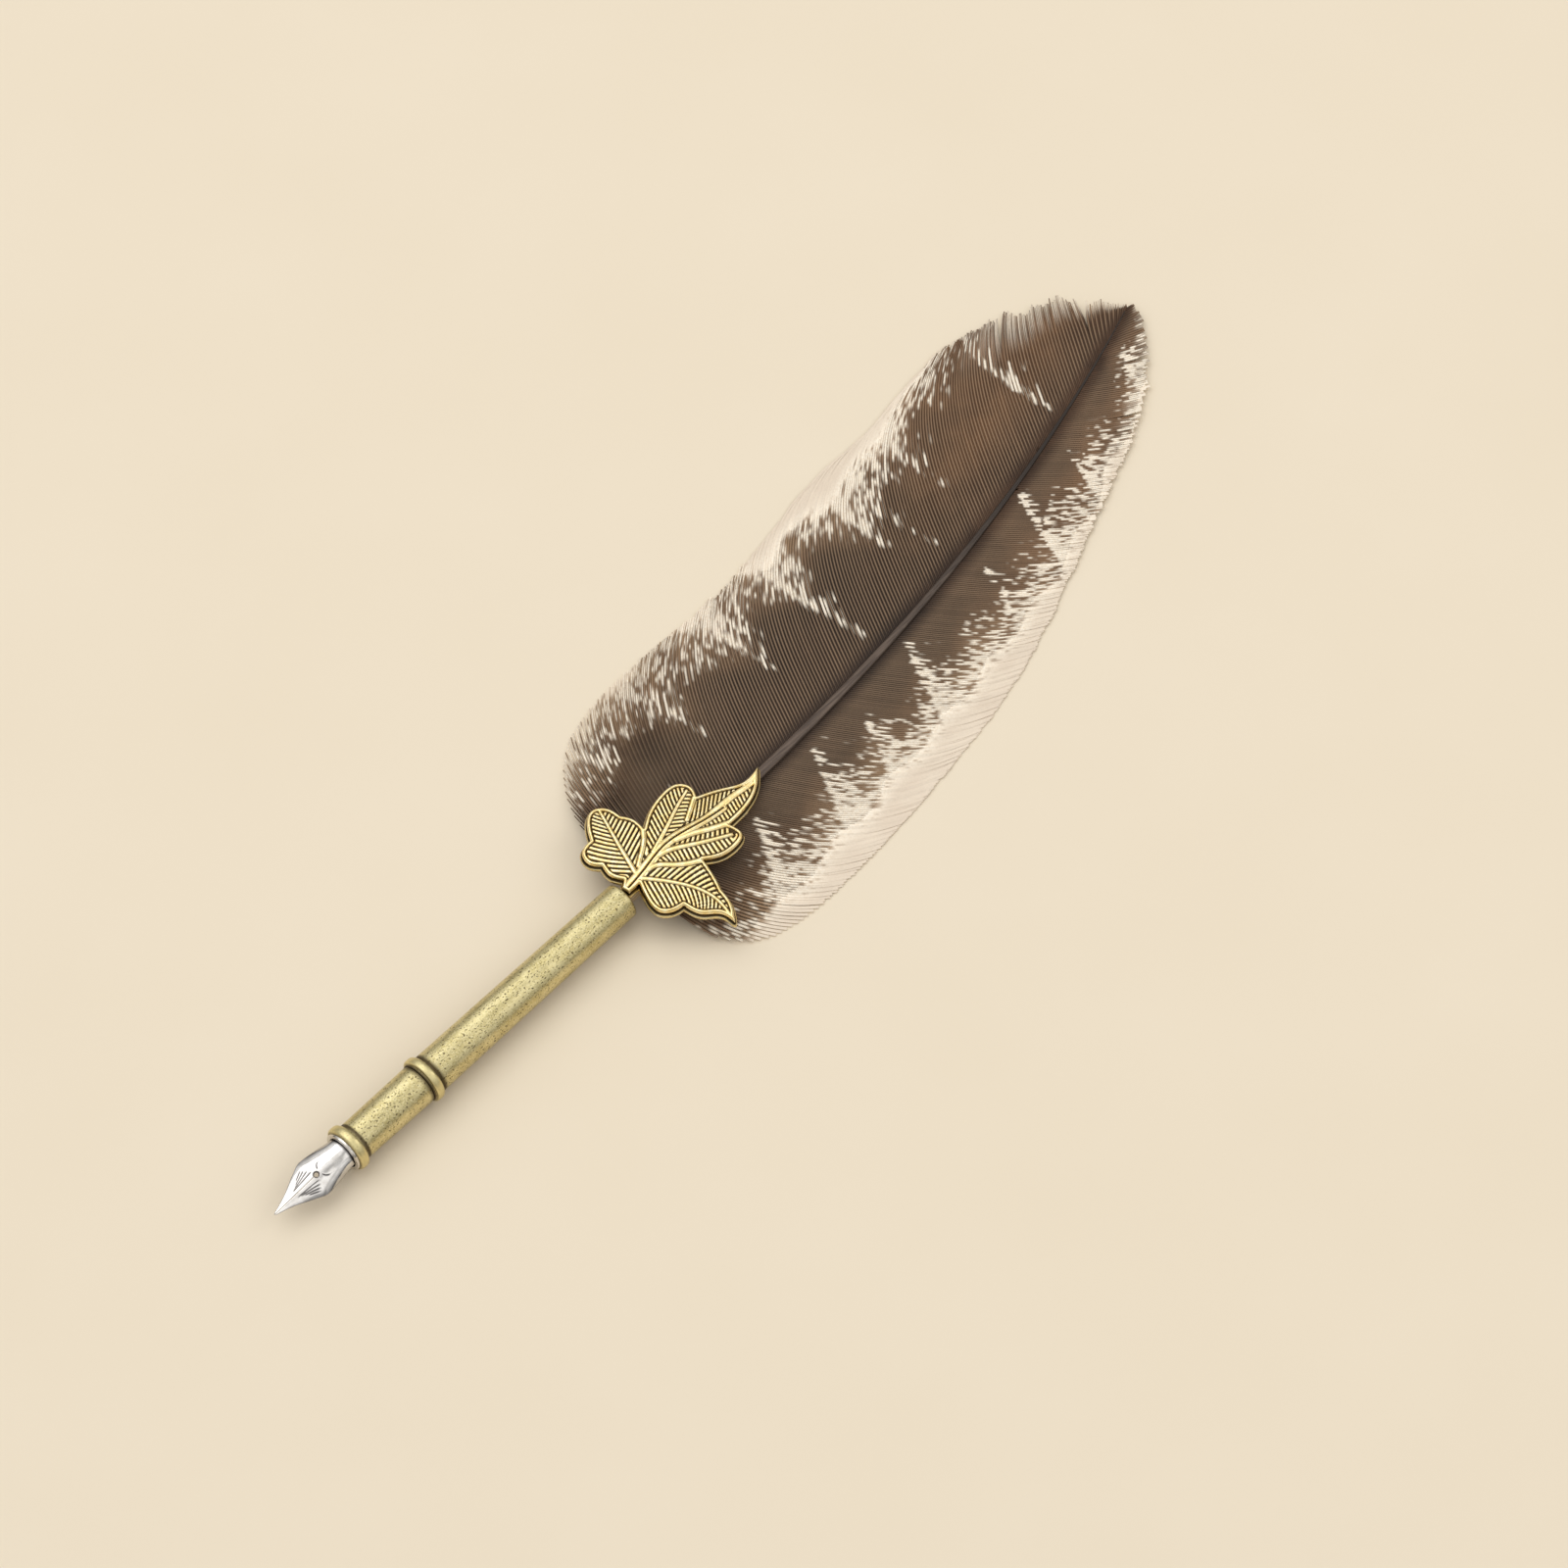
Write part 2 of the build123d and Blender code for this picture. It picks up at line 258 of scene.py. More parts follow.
def natural_curve(points, per_span):
    """A natural cubic spline through points, with per_span steps between neighbours."""
    points = np.array(points, float)
    n = len(points)
    spans = np.maximum(gaps(points), 1e-9)
    matrix, right = np.eye(n), np.zeros((n, points.shape[1]))
    for i in range(1, n - 1):
        matrix[i, i - 1 : i + 2] = spans[i - 1], 2 * (spans[i - 1] + spans[i]), spans[i]
        after = (points[i + 1] - points[i]) / spans[i]
        right[i] = 6 * (after - (points[i] - points[i - 1]) / spans[i - 1])
    bend = np.linalg.solve(matrix, right)
    out = []
    for i, h in enumerate(spans):
        for t in np.linspace(0, h, per_span, endpoint=False):
            a, b = (h - t) / h, t / h
            curved = ((a**3 - a) * bend[i] + (b**3 - b) * bend[i + 1]) * h * h / 6
            out.append(a * points[i] + b * points[i + 1] + curved)
    out.append(points[-1])
    return np.array(out)


def inside(points, polygon):
    """Which points are inside a polygon."""
    found = np.zeros(len(points), bool)
    x, y = points[:, 0], points[:, 1]
    for (ax, ay), (bx, by) in zip(polygon, np.roll(polygon, -1, axis=0)):
        crosses = (ay > y) != (by > y)
        with np.errstate(divide="ignore", invalid="ignore"):
            found ^= crosses & (x < (bx - ax) * (y - ay) / (by - ay) + ax)
    return found


def nearest(points, line):
    """For each point: distance to a polyline, length along it at the nearest place, and side."""
    best = np.full(len(points), 1e9)
    along, side = np.zeros(len(points)), np.zeros(len(points))
    travelled = 0.0
    for a, b in zip(line[:-1], line[1:]):
        run = b - a
        length = np.linalg.norm(run)
        if length < 1e-9:
            continue
        t = np.clip(((points - a) @ run) / length**2, 0, 1)
        gap = points - a - t[:, None] * run
        distance = np.linalg.norm(gap, axis=1)
        closer = distance < best
        best[closer] = distance[closer]
        along[closer] = (travelled + t * length)[closer]
        side[closer] = np.sign(run[0] * gap[:, 1] - run[1] * gap[:, 0])[closer]
        travelled += length
    return best, along, side


def triangulated(outline, pitch):
    """Points and triangles that fill an outline, with an even grid of points inside it."""
    low, high = outline.min(0), outline.max(0)
    columns = np.arange(low[0], high[0], pitch)
    rows = np.arange(low[1], high[1], pitch)
    grid = np.array([(x + pitch / 2 * (j % 2), y) for j, y in enumerate(rows) for x in columns])
    grid = grid[inside(grid, outline)]
    grid = grid[nearest(grid, np.vstack([outline, outline[:1]]))[0] > 0.55 * pitch]
    points = [Vector(p) for p in np.vstack([outline, grid])]
    made = delaunay_2d_cdt(points, [], [list(range(len(outline)))], 1, 1e-7)
    return np.array([tuple(p) for p in made[0]]), [tuple(f) for f in made[2]]


def sheet_solid(flat, triangles, upper, lower, ledges=()):
    """One closed solid between an upper and a lower copy of a filled outline. A ledge gives a
    share of the way down its wall, and how far the wall stands out there."""
    edges = {edge for a, b, c in triangles for edge in ((a, b), (b, c), (c, a))}
    after = {a: b for a, b in edges if (b, a) not in edges}
    loop = [min(after)]
    while after[loop[-1]] != loop[0]:
        loop.append(after[loop[-1]])
    loop = np.array(loop)
    run = np.roll(flat[loop], -1, axis=0) - np.roll(flat[loop], 1, axis=0)
    outward = np.stack([run[:, 1], -run[:, 0]], -1) / np.linalg.norm(run, axis=1)[:, None]
    count = len(flat)
    points, rows = [upper, lower], [loop]
    for share, stand_out, _ in ledges:
        row = upper[loop] * (1 - share) + lower[loop] * share
        row[:, :2] += outward * stand_out
        rows.append(np.arange(len(loop)) + sum(len(part) for part in points))
        points.append(row)
    rows.append(loop + count)
    faces = list(triangles)
    faces += [(c + count, b + count, a + count) for a, b, c in triangles]
    for first, second in zip(rows[:-1], rows[1:]):
        quads = np.stack([np.roll(first, -1), first, second, np.roll(second, -1)], -1)
        faces += [tuple(quad) for quad in quads.tolist()]
    return np.vstack(points), faces


# -------- materials


def colour(red, green, blue):
    """A colour given by its usual 0 to 255 values, as the linear colour that a shader takes."""
    share = [v / 255 for v in (red, green, blue)]
    linear = [v / 12.92 if v <= 0.04045 else ((v + 0.055) / 1.055) ** 2.4 for v in share]
    return (*linear, 1.0)


def node(tree, kind, settings=None, inputs=None):
    """A shader node. An input is a value or another node's output."""
    made = tree.nodes.new("ShaderNode" + kind)
    for key, value in (settings or {}).items():
        setattr(made, key, value)
    for key, value in (inputs or {}).items():
        if isinstance(value, bpy.types.NodeSocket):
            tree.links.new(value, made.inputs[key])
        else:
            made.inputs[key].default_value = value
    return made


def new_material(name, **constants):
    """A material with a Principled shader, whose constant values are set here."""
    material = bpy.data.materials.new(name)
    material.use_nodes = True
    tree = material.node_tree
    for key, value in constants.items():
        tree.nodes["Principled BSDF"].inputs[key.replace("_", " ")].default_value = value
    return material, tree


def millimetres(tree, stretch=(1, 1, 1)):
    """Object coordinates in millimetres, which stay with the piece when it moves."""
    where = node(tree, "TexCoord")
    scale = [s / MM for s in stretch]
    inputs = {"Vector": where.outputs["Object"], "Scale": scale}
    return node(tree, "Mapping", {"vector_type": "POINT"}, inputs).outputs["Vector"]


def noise(tree, where, scale, detail=2.0, roughness=0.5, distortion=0.0):
    """Noise from 0 to 1. Scale is features for each millimetre."""
    names = ("Vector", "Scale", "Detail", "Roughness", "Distortion")
    inputs = dict(zip(names, (where, scale, detail, roughness, distortion)))
    return node(tree, "TexNoise", None, inputs).outputs["Fac"]


def attribute(tree, name):
    """A float value stored at the mesh's points."""
    return node(tree, "Attribute", {"attribute_name": name}).outputs["Fac"]


def step(tree, value, low, high, out_low=0.0, out_high=1.0):
    """A value mapped smoothly from one range to another."""
    inputs = {"Value": value, 1: low, 2: high, 3: out_low, 4: out_high}
    return node(tree, "MapRange", {"interpolation_type": "SMOOTHSTEP"}, inputs).outputs["Result"]


def mix(tree, factor, first, second, blend="MIX"):
    """Two colours mixed. Each is a node's output, or a triple of usual 0 to 255 values."""
    first, second = (colour(*c) if isinstance(c, tuple) else c for c in (first, second))
    inputs = {0: factor, 6: first, 7: second}
    settings = {"data_type": "RGBA", "blend_type": blend}
    return node(tree, "Mix", settings, inputs).outputs[2]


def maths(tree, operation, first, second=0.0):
    """A sum, product or other operation on two numbers."""
    return node(tree, "Math", {"operation": operation}, {0: first, 1: second}).outputs[0]


def times(tree, value, factor):
    """A number multiplied."""
    return maths(tree, "MULTIPLY", value, factor)


def surface(tree, tone, roughness, height=None, distance=0.0, strength=1.0):
    """Sets colour and roughness, and fine relief from a height of 0 to 1, which stands for a
    distance in millimetres."""
    shader = tree.nodes["Principled BSDF"]
    tree.links.new(tone, shader.inputs["Base Color"])
    tree.links.new(roughness, shader.inputs["Roughness"])
    if height is not None:
        inputs = {"Height": height, "Distance": distance * MM, "Strength": strength}
        relief = node(tree, "Bump", None, inputs).outputs["Normal"]
        tree.links.new(relief, shader.inputs["Normal"])


def brass_material():
    """Antique brass: satin olive gold with fine grain, dark pits, tarnish in the grooves, and
    painted shade on its underside.
    """
    material, tree = new_material("antique_brass_finish", Metallic=1.0)
    where = millimetres(tree)
    lengthwise = millimetres(tree, (0.45, 1, 1))
    blotch = step(tree, noise(tree, lengthwise, 0.45, 4.0, 0.65), 0.3, 0.7)
    grain = noise(tree, where, 3.4, 4.0, 0.7)
    pits = step(tree, noise(tree, millimetres(tree, (0.8, 1, 1)), 3.4, 1.0, 0.5, 0.4), 0.62, 0.67)
    patina_and_shade_mask = attribute(tree, "patina_and_shade")
    patina_and_shade = step(tree, maths(tree, "ADD", patina_and_shade_mask, times(tree, grain, 0.35)), 0.42, 1.05)
    tone = mix(tree, blotch, (190, 176, 123), (218, 205, 155))
    tone = mix(tree, step(tree, grain, 0.44, 0.7, 0.0, 0.75), tone, (240, 230, 186))
    tone = mix(tree, times(tree, pits, 0.85), tone, (70, 56, 34))
    tone = mix(tree, times(tree, attribute(tree, "polish"), 0.8), tone, (222, 208, 154))
    # Darkening with age beside the grooves, and painted shade underneath.
    tone = mix(tree, times(tree, patina_and_shade, 0.88), tone, (66, 51, 36))
    rough = maths(tree, "ADD", grain, times(tree, patina_and_shade, 0.5))
    height = maths(tree, "SUBTRACT", grain, times(tree, pits, 0.8))
    surface(tree, tone, step(tree, rough, 0.2, 1.1, 0.28, 0.5), height, 0.04, 0.7)
    return material


def gold_material():
    """Gilded casting: bright on its ridges, with dark toning left in the recesses, and painted
    shade on the leaf's walls and underside.
    """
    material, tree = new_material("gilded_finish", Metallic=1.0)
    recess_and_shade = attribute(tree, "recess_and_shade")
    cloud = noise(tree, millimetres(tree), 0.8, 3.0, 0.6)
    grain = noise(tree, millimetres(tree), 5.0, 2.0, 0.6)
    tone = mix(tree, step(tree, cloud, 0.35, 0.7), (241, 214, 148), (255, 239, 190))
    # Dark toning in the recesses, and painted shade on the walls and underside.
    dark = step(tree, maths(tree, "ADD", recess_and_shade, times(tree, cloud, 0.3)), 0.35, 0.85)
    tone = mix(tree, times(tree, dark, 0.97), tone, (46, 28, 8))
    surface(tree, tone, step(tree, grain, 0.3, 0.8, 0.14, 0.26), grain, 0.012, 0.6)
    return material


def steel_material(name, light, dark, low, high):
    """Bright steel or plating, with fine lengthwise rubbing; its groove value paints shade in the
    ferrule's bore and on the nib, and darkens the nib's engraved lines.
    """
    material, tree = new_material(name, Metallic=1.0)
    rubbed = noise(tree, millimetres(tree, (0.12, 1, 1)), 5.0, 3.0, 0.6)
    cloud = noise(tree, millimetres(tree), 0.6, 3.0)
    groove = attribute(tree, "groove")
    tone = mix(tree, step(tree, cloud, 0.3, 0.7), light, dark)
    # Painted shade, and the nib's darker engraved lines, from the groove value.
    tone = mix(tree, times(tree, groove, 0.95), tone, (44, 37, 34))
    surface(tree, tone, step(tree, rubbed, 0.3, 0.75, low, high), rubbed, 0.006, 0.5)
    return material


def adhesive_material():
    """Set clear adhesive, faintly yellow, with small bubbles and a wavy skin."""
    material, tree = new_material("set_adhesive_finish", IOR=1.5)
    where = millimetres(tree)
    wave = noise(tree, where, 1.1, 2.0)
    bubbles = step(tree, noise(tree, where, 4.0, 1.0), 0.66, 0.72)
    tone = mix(tree, step(tree, wave, 0.3, 0.7), (196, 184, 152), (222, 214, 190))
    tone = mix(tree, times(tree, bubbles, 0.5), tone, (244, 240, 228))
    surface(tree, tone, step(tree, wave, 0.2, 0.8, 0.12, 0.25), wave, 0.15, 0.7)
    return material


def shaft_material():
    """Horny feather shaft: pale in the holder, slate brown between the vanes, with fine lines,
    a line of painted shade along one side, and darker towards the tip.
    """
    material, tree = new_material("shaft_finish", IOR=1.54, Specular_IOR_Level=0.3)
    lines = noise(tree, millimetres(tree, (0.05, 1, 1)), 2.4, 4.0, 0.6)
    mottle = noise(tree, millimetres(tree, (0.3, 1, 1)), 0.5, 3.0)
    horn = mix(tree, step(tree, lines, 0.3, 0.7), (150, 128, 100), (196, 176, 146))
    slate = mix(tree, step(tree, lines, 0.3, 0.7), (72, 59, 51), (110, 94, 82))
    slate = mix(tree, step(tree, mottle, 0.4, 0.75, 0, 0.5), slate, (62, 50, 42))
    tone = mix(tree, attribute(tree, "slate"), horn, slate)
    # Painted shade along one side, and the shaft darker towards its tip.
    tone = mix(tree, attribute(tree, "shade_line_and_dark_tip"), tone, (34, 26, 21))
    surface(tree, tone, step(tree, lines, 0.2, 0.8, 0.24, 0.4), lines, 0.03, 0.5)
    return material


def barb_material():
    """Feather barbs: dark brown with a painted highlight along the ridges, streaked with cream,
    clear at the margin.
    """
    material, tree = new_material("barb_finish", IOR=1.5, Specular_IOR_Level=0.3)
    fine = noise(tree, millimetres(tree), 2.2, 3.0, 0.65)
    cloud = step(tree, noise(tree, millimetres(tree), 0.12, 3.0), 0.35, 0.65)
    streak = step(tree, fine, 0.3, 0.7)
    tone = mix(tree, cloud, (42, 30, 22), (56, 41, 31))
    for name, strength, varied, first, second in (
        ("tan", 1.0, cloud, (144, 116, 90), (172, 144, 114)),
        ("warm", 1.0, cloud, (93, 63, 40), (122, 87, 59)),
        # Painted highlight along the crests of the ridges.
        ("crest_highlight", 0.85, cloud, (160, 133, 106), (160, 133, 106)),
        ("pale", 1.0, streak, (248, 232, 209), (255, 245, 228)),
        ("film", 1.0, cloud, (226, 210, 190), (231, 216, 196)),
    ):
        share = times(tree, attribute(tree, name), strength)
        tone = mix(tree, share, tone, mix(tree, varied, first, second))
    shade = step(tree, maths(tree, "ADD", fine, attribute(tree, "shade")), 0.2, 1.6, 0.88, 1.08)
    level = node(tree, "CombineColor", None, {0: shade, 1: shade, 2: shade}).outputs[0]
    tone = mix(tree, 1.0, tone, level, "MULTIPLY")
    surface(tree, tone, step(tree, fine, 0.2, 0.8, 0.45, 0.65))
    return material


# -------- holder

brass = brass_material()
gold = gold_material()
nib_steel = steel_material("nib_steel_finish", (242, 239, 236), (222, 218, 213), 0.1, 0.2)
plating = steel_material("plating_finish", (228, 223, 215), (204, 198, 188), 0.12, 0.24)
clip_steel = steel_material("clip_finish", (170, 168, 164), (140, 138, 134), 0.3, 0.45)
adhesive = adhesive_material()
COLLAR_REAR = GRIP_FRONT + FRONT_COLLAR_WIDTH


def turned_brass(name, profile, body, node_name, grooves):
    """A turned piece of the brass holder."""
    turned(name, profile, body, "antique_brass", [node_name], brass, grooves)


turned_brass(
    "grip_turned",
    [
        (GRIP_FRONT, FERRULE_R, 0),
        (GRIP_FRONT, COLLAR_R, COLLAR_ROUND),
        (COLLAR_REAR, COLLAR_R, COLLAR_ROUND),
        (COLLAR_REAR, GRIP_R_FRONT, 0.12),
        (GRIP_REAR, GRIP_R_REAR, 0.25),
        (GRIP_REAR, TENON_R, 0),
        (TENON_END, TENON_R, 0.2),
        (TENON_END, TENON_HOLE_R, 0),
        (FERRULE_SEAT, TENON_HOLE_R, 0),
        (FERRULE_SEAT, FERRULE_R, 0),
    ],
    "grip",
    "grip_section",
    [(COLLAR_REAR + 0.5, 0.55, 1.0), (GRIP_REAR, 1.1, 0.8), (GRIP_FRONT, 0.25, 0.6)],
)
turned_brass(
    "joint_ring_turned",
    [
        (RING_FRONT, BARREL_BORE_R, 0),
        (RING_FRONT, RING_STEP_R, 0.12),
        (RING_FRONT + RING_STEP_WIDTH, RING_STEP_R, 0.05),
        (RING_FRONT + RING_STEP_WIDTH, COLLAR_R, 0.5),
        (RING_REAR, COLLAR_R, COLLAR_ROUND),
        (RING_REAR, BARREL_BORE_R, 0),
    ],
    "ring",
    "joint_ring",
    [(RING_FRONT + 0.1, 0.35, 1.0)],
)
turned_brass(
    "barrel_turned",
    [
        (BARREL_FRONT, BARREL_BORE_R, 0),
        (BARREL_FRONT, NECK_R, 0.1),
        (BARREL_FRONT + NECK_WIDTH, NECK_R, 0.05),
        (BARREL_FRONT + NECK_WIDTH + 0.2, BARREL_R_FRONT, 0.15),
        (BARREL_REAR, BARREL_R_REAR, 0.4),
        (BARREL_REAR, BARREL_BORE_R, 0),
    ],
    "barrel",
    "barrel_tube",
    [(BARREL_FRONT, 1.2, 1.0), (BARREL_REAR, 0.8, 0.5)],
)
turned(
    "ferrule_turned",
    [
        (FLANGE_FRONT, FERRULE_BORE_R, 0.06),
        (FLANGE_FRONT, FLANGE_R, 0.18),
        (GRIP_FRONT, FLANGE_R, 0.05),
        (GRIP_FRONT, FERRULE_R, 0),
        (FERRULE_SEAT, FERRULE_R, 0),
        (FERRULE_SEAT, FERRULE_BORE_R, 0),
    ],
    "grip",
    "plated_ferrule",
    ["nib_ferrule"],
    plating,
)


def refinish(name, material):
    """Gives a CAD node a finish of its own."""
    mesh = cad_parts[name].data
    mesh.materials.clear()
    mesh.materials.append(material)


refinish("nib_clip", clip_steel)
refinish("quill_plug", adhesive)
refinish("leaf_pad", adhesive)

# -------- nib


def monotone(xs, ys, x):
    """A smooth curve through the points that never overshoots them."""
    xs, ys = np.array(xs, float), np.array(ys, float)
    slope = np.diff(ys) / np.diff(xs)
    tangent = np.concatenate([[slope[0]], (slope[:-1] + slope[1:]) / 2, [slope[-1]]])
    turns = slope[:-1] * slope[1:] <= 0
    tangent[1:-1][turns] = 0
    for i, s in enumerate(slope):
        for j in (i, i + 1):
            tangent[j] = np.sign(s) * min(abs(tangent[j]), 3 * abs(s)) if s else 0
    i = np.clip(np.searchsorted(xs, x) - 1, 0, len(xs) - 2)
    h = xs[i + 1] - xs[i]
    t = (x - xs[i]) / h
    start = (1 + 2 * t) * (1 - t) ** 2 * ys[i] + t * (1 - t) ** 2 * h * tangent[i]
    return start + t * t * (3 - 2 * t) * ys[i + 1] + t * t * (t - 1) * h * tangent[i + 1]


def nib_section(x):
    """Radius, half angle and crown height of the nib's section at a station."""
    rows = list(zip(*NIB_SECTIONS))
    half, crown, drop = (monotone(rows[0], rows[k], x) for k in (1, 2, 3))
    radius = (half**2 + drop**2) / (2 * drop)
    return radius, np.arccos(np.clip((radius - drop) / radius, -1, 1)), crown


def nib_outline():
    """The nib rolled flat, with an open slit: station, and distance round from its crown."""
    shaped = np.arange(0, 20, NIB_PITCH)
    stations = np.concatenate([shaped, np.arange(20, NIB_TAIL_END, TAIL_PITCH), [NIB_TAIL_END]])
    radius, half_angle, _ = nib_section(stations)
    edge = np.stack([stations, radius * half_angle], -1)
    vent_start = math.asin(SLIT / 2 / VENT_R)
    turn = np.linspace(math.pi - vent_start, vent_start - math.pi, 28)
    vent = np.stack([VENT_X + VENT_R * np.cos(turn), VENT_R * np.sin(turn)], -1)
    slit_end = VENT_X - VENT_R
    slit_stations = np.arange(0, slit_end - NIB_PITCH, NIB_PITCH)
    slit = np.stack([slit_stations, np.full(len(slit_stations), SLIT / 2)], -1)
    other_side = [1, -1]
    tail = np.linspace(edge[-1] * other_side, edge[-1], 40)[1:-1]
    parts = [slit, vent, slit[::-1] * other_side, edge * other_side, tail, edge[::-1]]
    return np.vstack(parts)


def engraved_line(distance):
    """1 on an engraved line, and 0 away from it."""
    return np.exp(-((distance / ENGRAVED_HALF_WIDTH) ** 4))


def nib_engraving(flat):
    """How deep the engraved lines and the hook behind the vent are, from 0 to 1."""
    x, across = flat[:, 0], np.abs(flat[:, 1])
    run = np.clip((x - ENGRAVING_START) / ENGRAVING_LENGTH, 0, 1)
    depth = np.zeros(len(flat))
    for k in range(ENGRAVED_LINES):
        line = 0.6 + (0.45 + 0.82 * k) * run**1.3
        start, end = 0.2 + 0.08 * k, 1.0 - 0.06 * k
        ends = smooth(start, start + 0.1, run) * (1 - smooth(end - 0.12, end, run))
        depth = np.maximum(depth, ends * engraved_line(across - line))
    hook = np.hypot(x - HOOK_CENTRE[0], across - HOOK_CENTRE[1]) - HOOK_R
    hook_ends = smooth(0.5, 0.7, across) * (1 - smooth(1.5, 1.7, across)) * (x < HOOK_CENTRE[0])
    return np.maximum(depth, hook_ends * engraved_line(hook))


def nib_point(flat, depth):
    """Where a point of the rolled-flat nib lies, with depth measured into the sheet."""
    radius, _, crown = nib_section(flat[:, 0])
    angle = flat[:, 1] / radius
    away = radius - depth
    across, up = away * np.sin(angle), crown - radius + away * np.cos(angle)
    turned_across = across * math.cos(NIB_ROLL) - up * math.sin(NIB_ROLL)
    turned_up = up * math.cos(NIB_ROLL) + across * math.sin(NIB_ROLL)
    return np.stack([flat[:, 0], turned_across, AXIS_Z + turned_up], -1)


def make_nib():
    """The pressed steel nib."""
    flat, triangles = triangulated(nib_outline(), NIB_PITCH)
    cut = nib_engraving(flat)
    vent = np.hypot(flat[:, 0] - VENT_X, flat[:, 1]) - VENT_R
    dished = VENT_DISH * (1 - smooth(0.0, 0.25, vent))
    upper = nib_point(flat, ENGRAVED_DEPTH * cut + dished)
    lower = nib_point(flat, NIB_SHEET)
    points, faces = sheet_solid(flat, triangles, upper, lower)
    # Painted shade round the vent, along the edges, where the sheet enters the ferrule and
    # over the underside; the engraved lines are darker too.
    radius, half_angle, _ = nib_section(flat[:, 0])
    edge = NIB_EDGE_SHADE * smooth(0.6, 1.0, np.abs(flat[:, 1]) / (radius * half_angle))
    past_mouth = flat[:, 0] - FLANGE_FRONT
    mouth_shadow = smooth(-0.5, 0.1, past_mouth) * (1 - 0.85 * smooth(0.3, 1.3, past_mouth))
    shade_and_engraving = np.max([cut, 1 - smooth(0.12, 0.26, vent), edge, mouth_shadow], axis=0)
    values = {"groove": np.concatenate([shade_and_engraving, np.full(len(flat), NIB_UNDERSIDE_SHADE)])}
    add_piece("nib_pressed", points, faces, "nib", "nib_steel", ["nib"], nib_steel, values)


make_nib()

# -------- leaf

LEAF_THICKNESS = 2.0
LEAF_TOP_Z = 8.5
LEAF_CENTRE_X = 100.0
LEAF_ARCH_ACROSS = 0.003
LEAF_ARCH_ALONG = 0.0005
LEAF_PITCH = 0.105
# Each run of the leaf's edge starts where the one before it ends, at a notch or a point.
LEAF_EDGES = [
    [(90.0, 1.3)],
    [(89.0, 3.6), (89.5, 6.3)],
    [(88.3, 8.2), (89.2, 11.0), (92.0, 11.6)],
    [(93.8, 14.2), (96.9, 16.0), (98.9, 14.5), (99.5, 11.2)],
    [(100.5, 9.1), (100.4, 6.2)],
    [(103.6, 8.0), (107.8, 9.0), (111.6, 8.3), (112.7, 6.1), (111.9, 3.9)],
    [(116.4, 1.7), (119.9, -0.1), (124.3, 0.3)],
    [(121.6, -2.2), (117.5, -4.0), (111.6, -4.5)],
    [(111.8, -7.6), (109.1, -8.5), (105.1, -7.7), (102.9, -6.2)],
    [(101.8, -10.2), (100.7, -12.9)],
    [(100.0, -16.0), (97.8, -19.0)],
    [(97.2, -16.0), (94.8, -13.7), (93.7, -10.2)],
    [(91.4, -9.6), (89.8, -8.1), (90.1, -4.3), (91.4, -1.3)],
    [(88.8, -1.3)],
    [(88.6, 0.3)],
]
STEM = [(88.6, -0.6), (94.1, 0.1), (100.4, 1.0), (106.1, 0.1), (111.1, -1.0), (113.4, -1.3)]
LONG_RIB = [(103.7, 0.7), (108.8, -0.5), (117.0, -0.9), (122.0, -1.1), (124.3, 0.2)]
LEFT_RIB = [(92.6, 1.0), (93.1, 2.4), (94.3, 5.9), (95.7, 9.6), (97.8, 15.0)]
UPPER_RIB = [(98.0, 1.5), (104.9, 3.9), (108.7, 5.3), (111.5, 6.1)]
MIDDLE_RIB = [(96.6, 0.5), (99.7, -0.2), (103.9, -2.6), (110.3, -6.3)]
LOW_RIB = [(92.5, -0.9), (96.8, -7.3), (98.7, -13.0), (98.0, -18.2)]
LEFT_BAND = [(93.9, 1.4), (96.0, 2.7), (98.6, 4.5), (100.3, 6.4)]
UPPER_BAND = [(107.0, 1.7), (109.1, 2.8), (111.3, 4.0)]
LONG_BAND = [(102.6, 0.2), (105.6, -1.0), (108.6, -2.7), (111.6, -4.2)]
LOW_BAND = [(93.8, -0.4), (96.0, -0.8), (98.6, -3.2), (102.8, -6.2)]
# Raised lines: route, half width at its start, half width at its end.
LEAF_VEINS = [
    (STEM, 1.2, 0.8), (LONG_RIB, 0.9, 0.45), (LEFT_RIB, 0.5, 0.3), (UPPER_RIB, 0.5, 0.3),
    (MIDDLE_RIB, 0.6, 0.4), (LOW_RIB, 0.45, 0.28), (LEFT_BAND, 0.45, 0.5),
    (UPPER_BAND, 0.45, 0.5), (LONG_BAND, 0.6, 0.65), (LOW_BAND, 0.5, 0.6),
]
# Hatched halves of each lobe: rib, side of it, angle between lines and rib at its start and end,
# and the distance between lines along the rib.
LEAF_LOBES = [
    (LEFT_RIB, [(1, 62, 40, 1.05), (-1, 52, 48, 1.1)]),
    (UPPER_RIB, [(1, 52, 43, 1.02), (-1, 56, 64, 0.95)]),
    (LONG_RIB, [(1, 39, 36, 1.15), (-1, 108, 108, 0.82)]),
    (MIDDLE_RIB, [(1, 46, 74, 0.98), (-1, 82, 74, 0.88)]),
    (LOW_RIB, [(1, 53, 62, 1.08), (-1, 57, 42, 1.02)]),
]
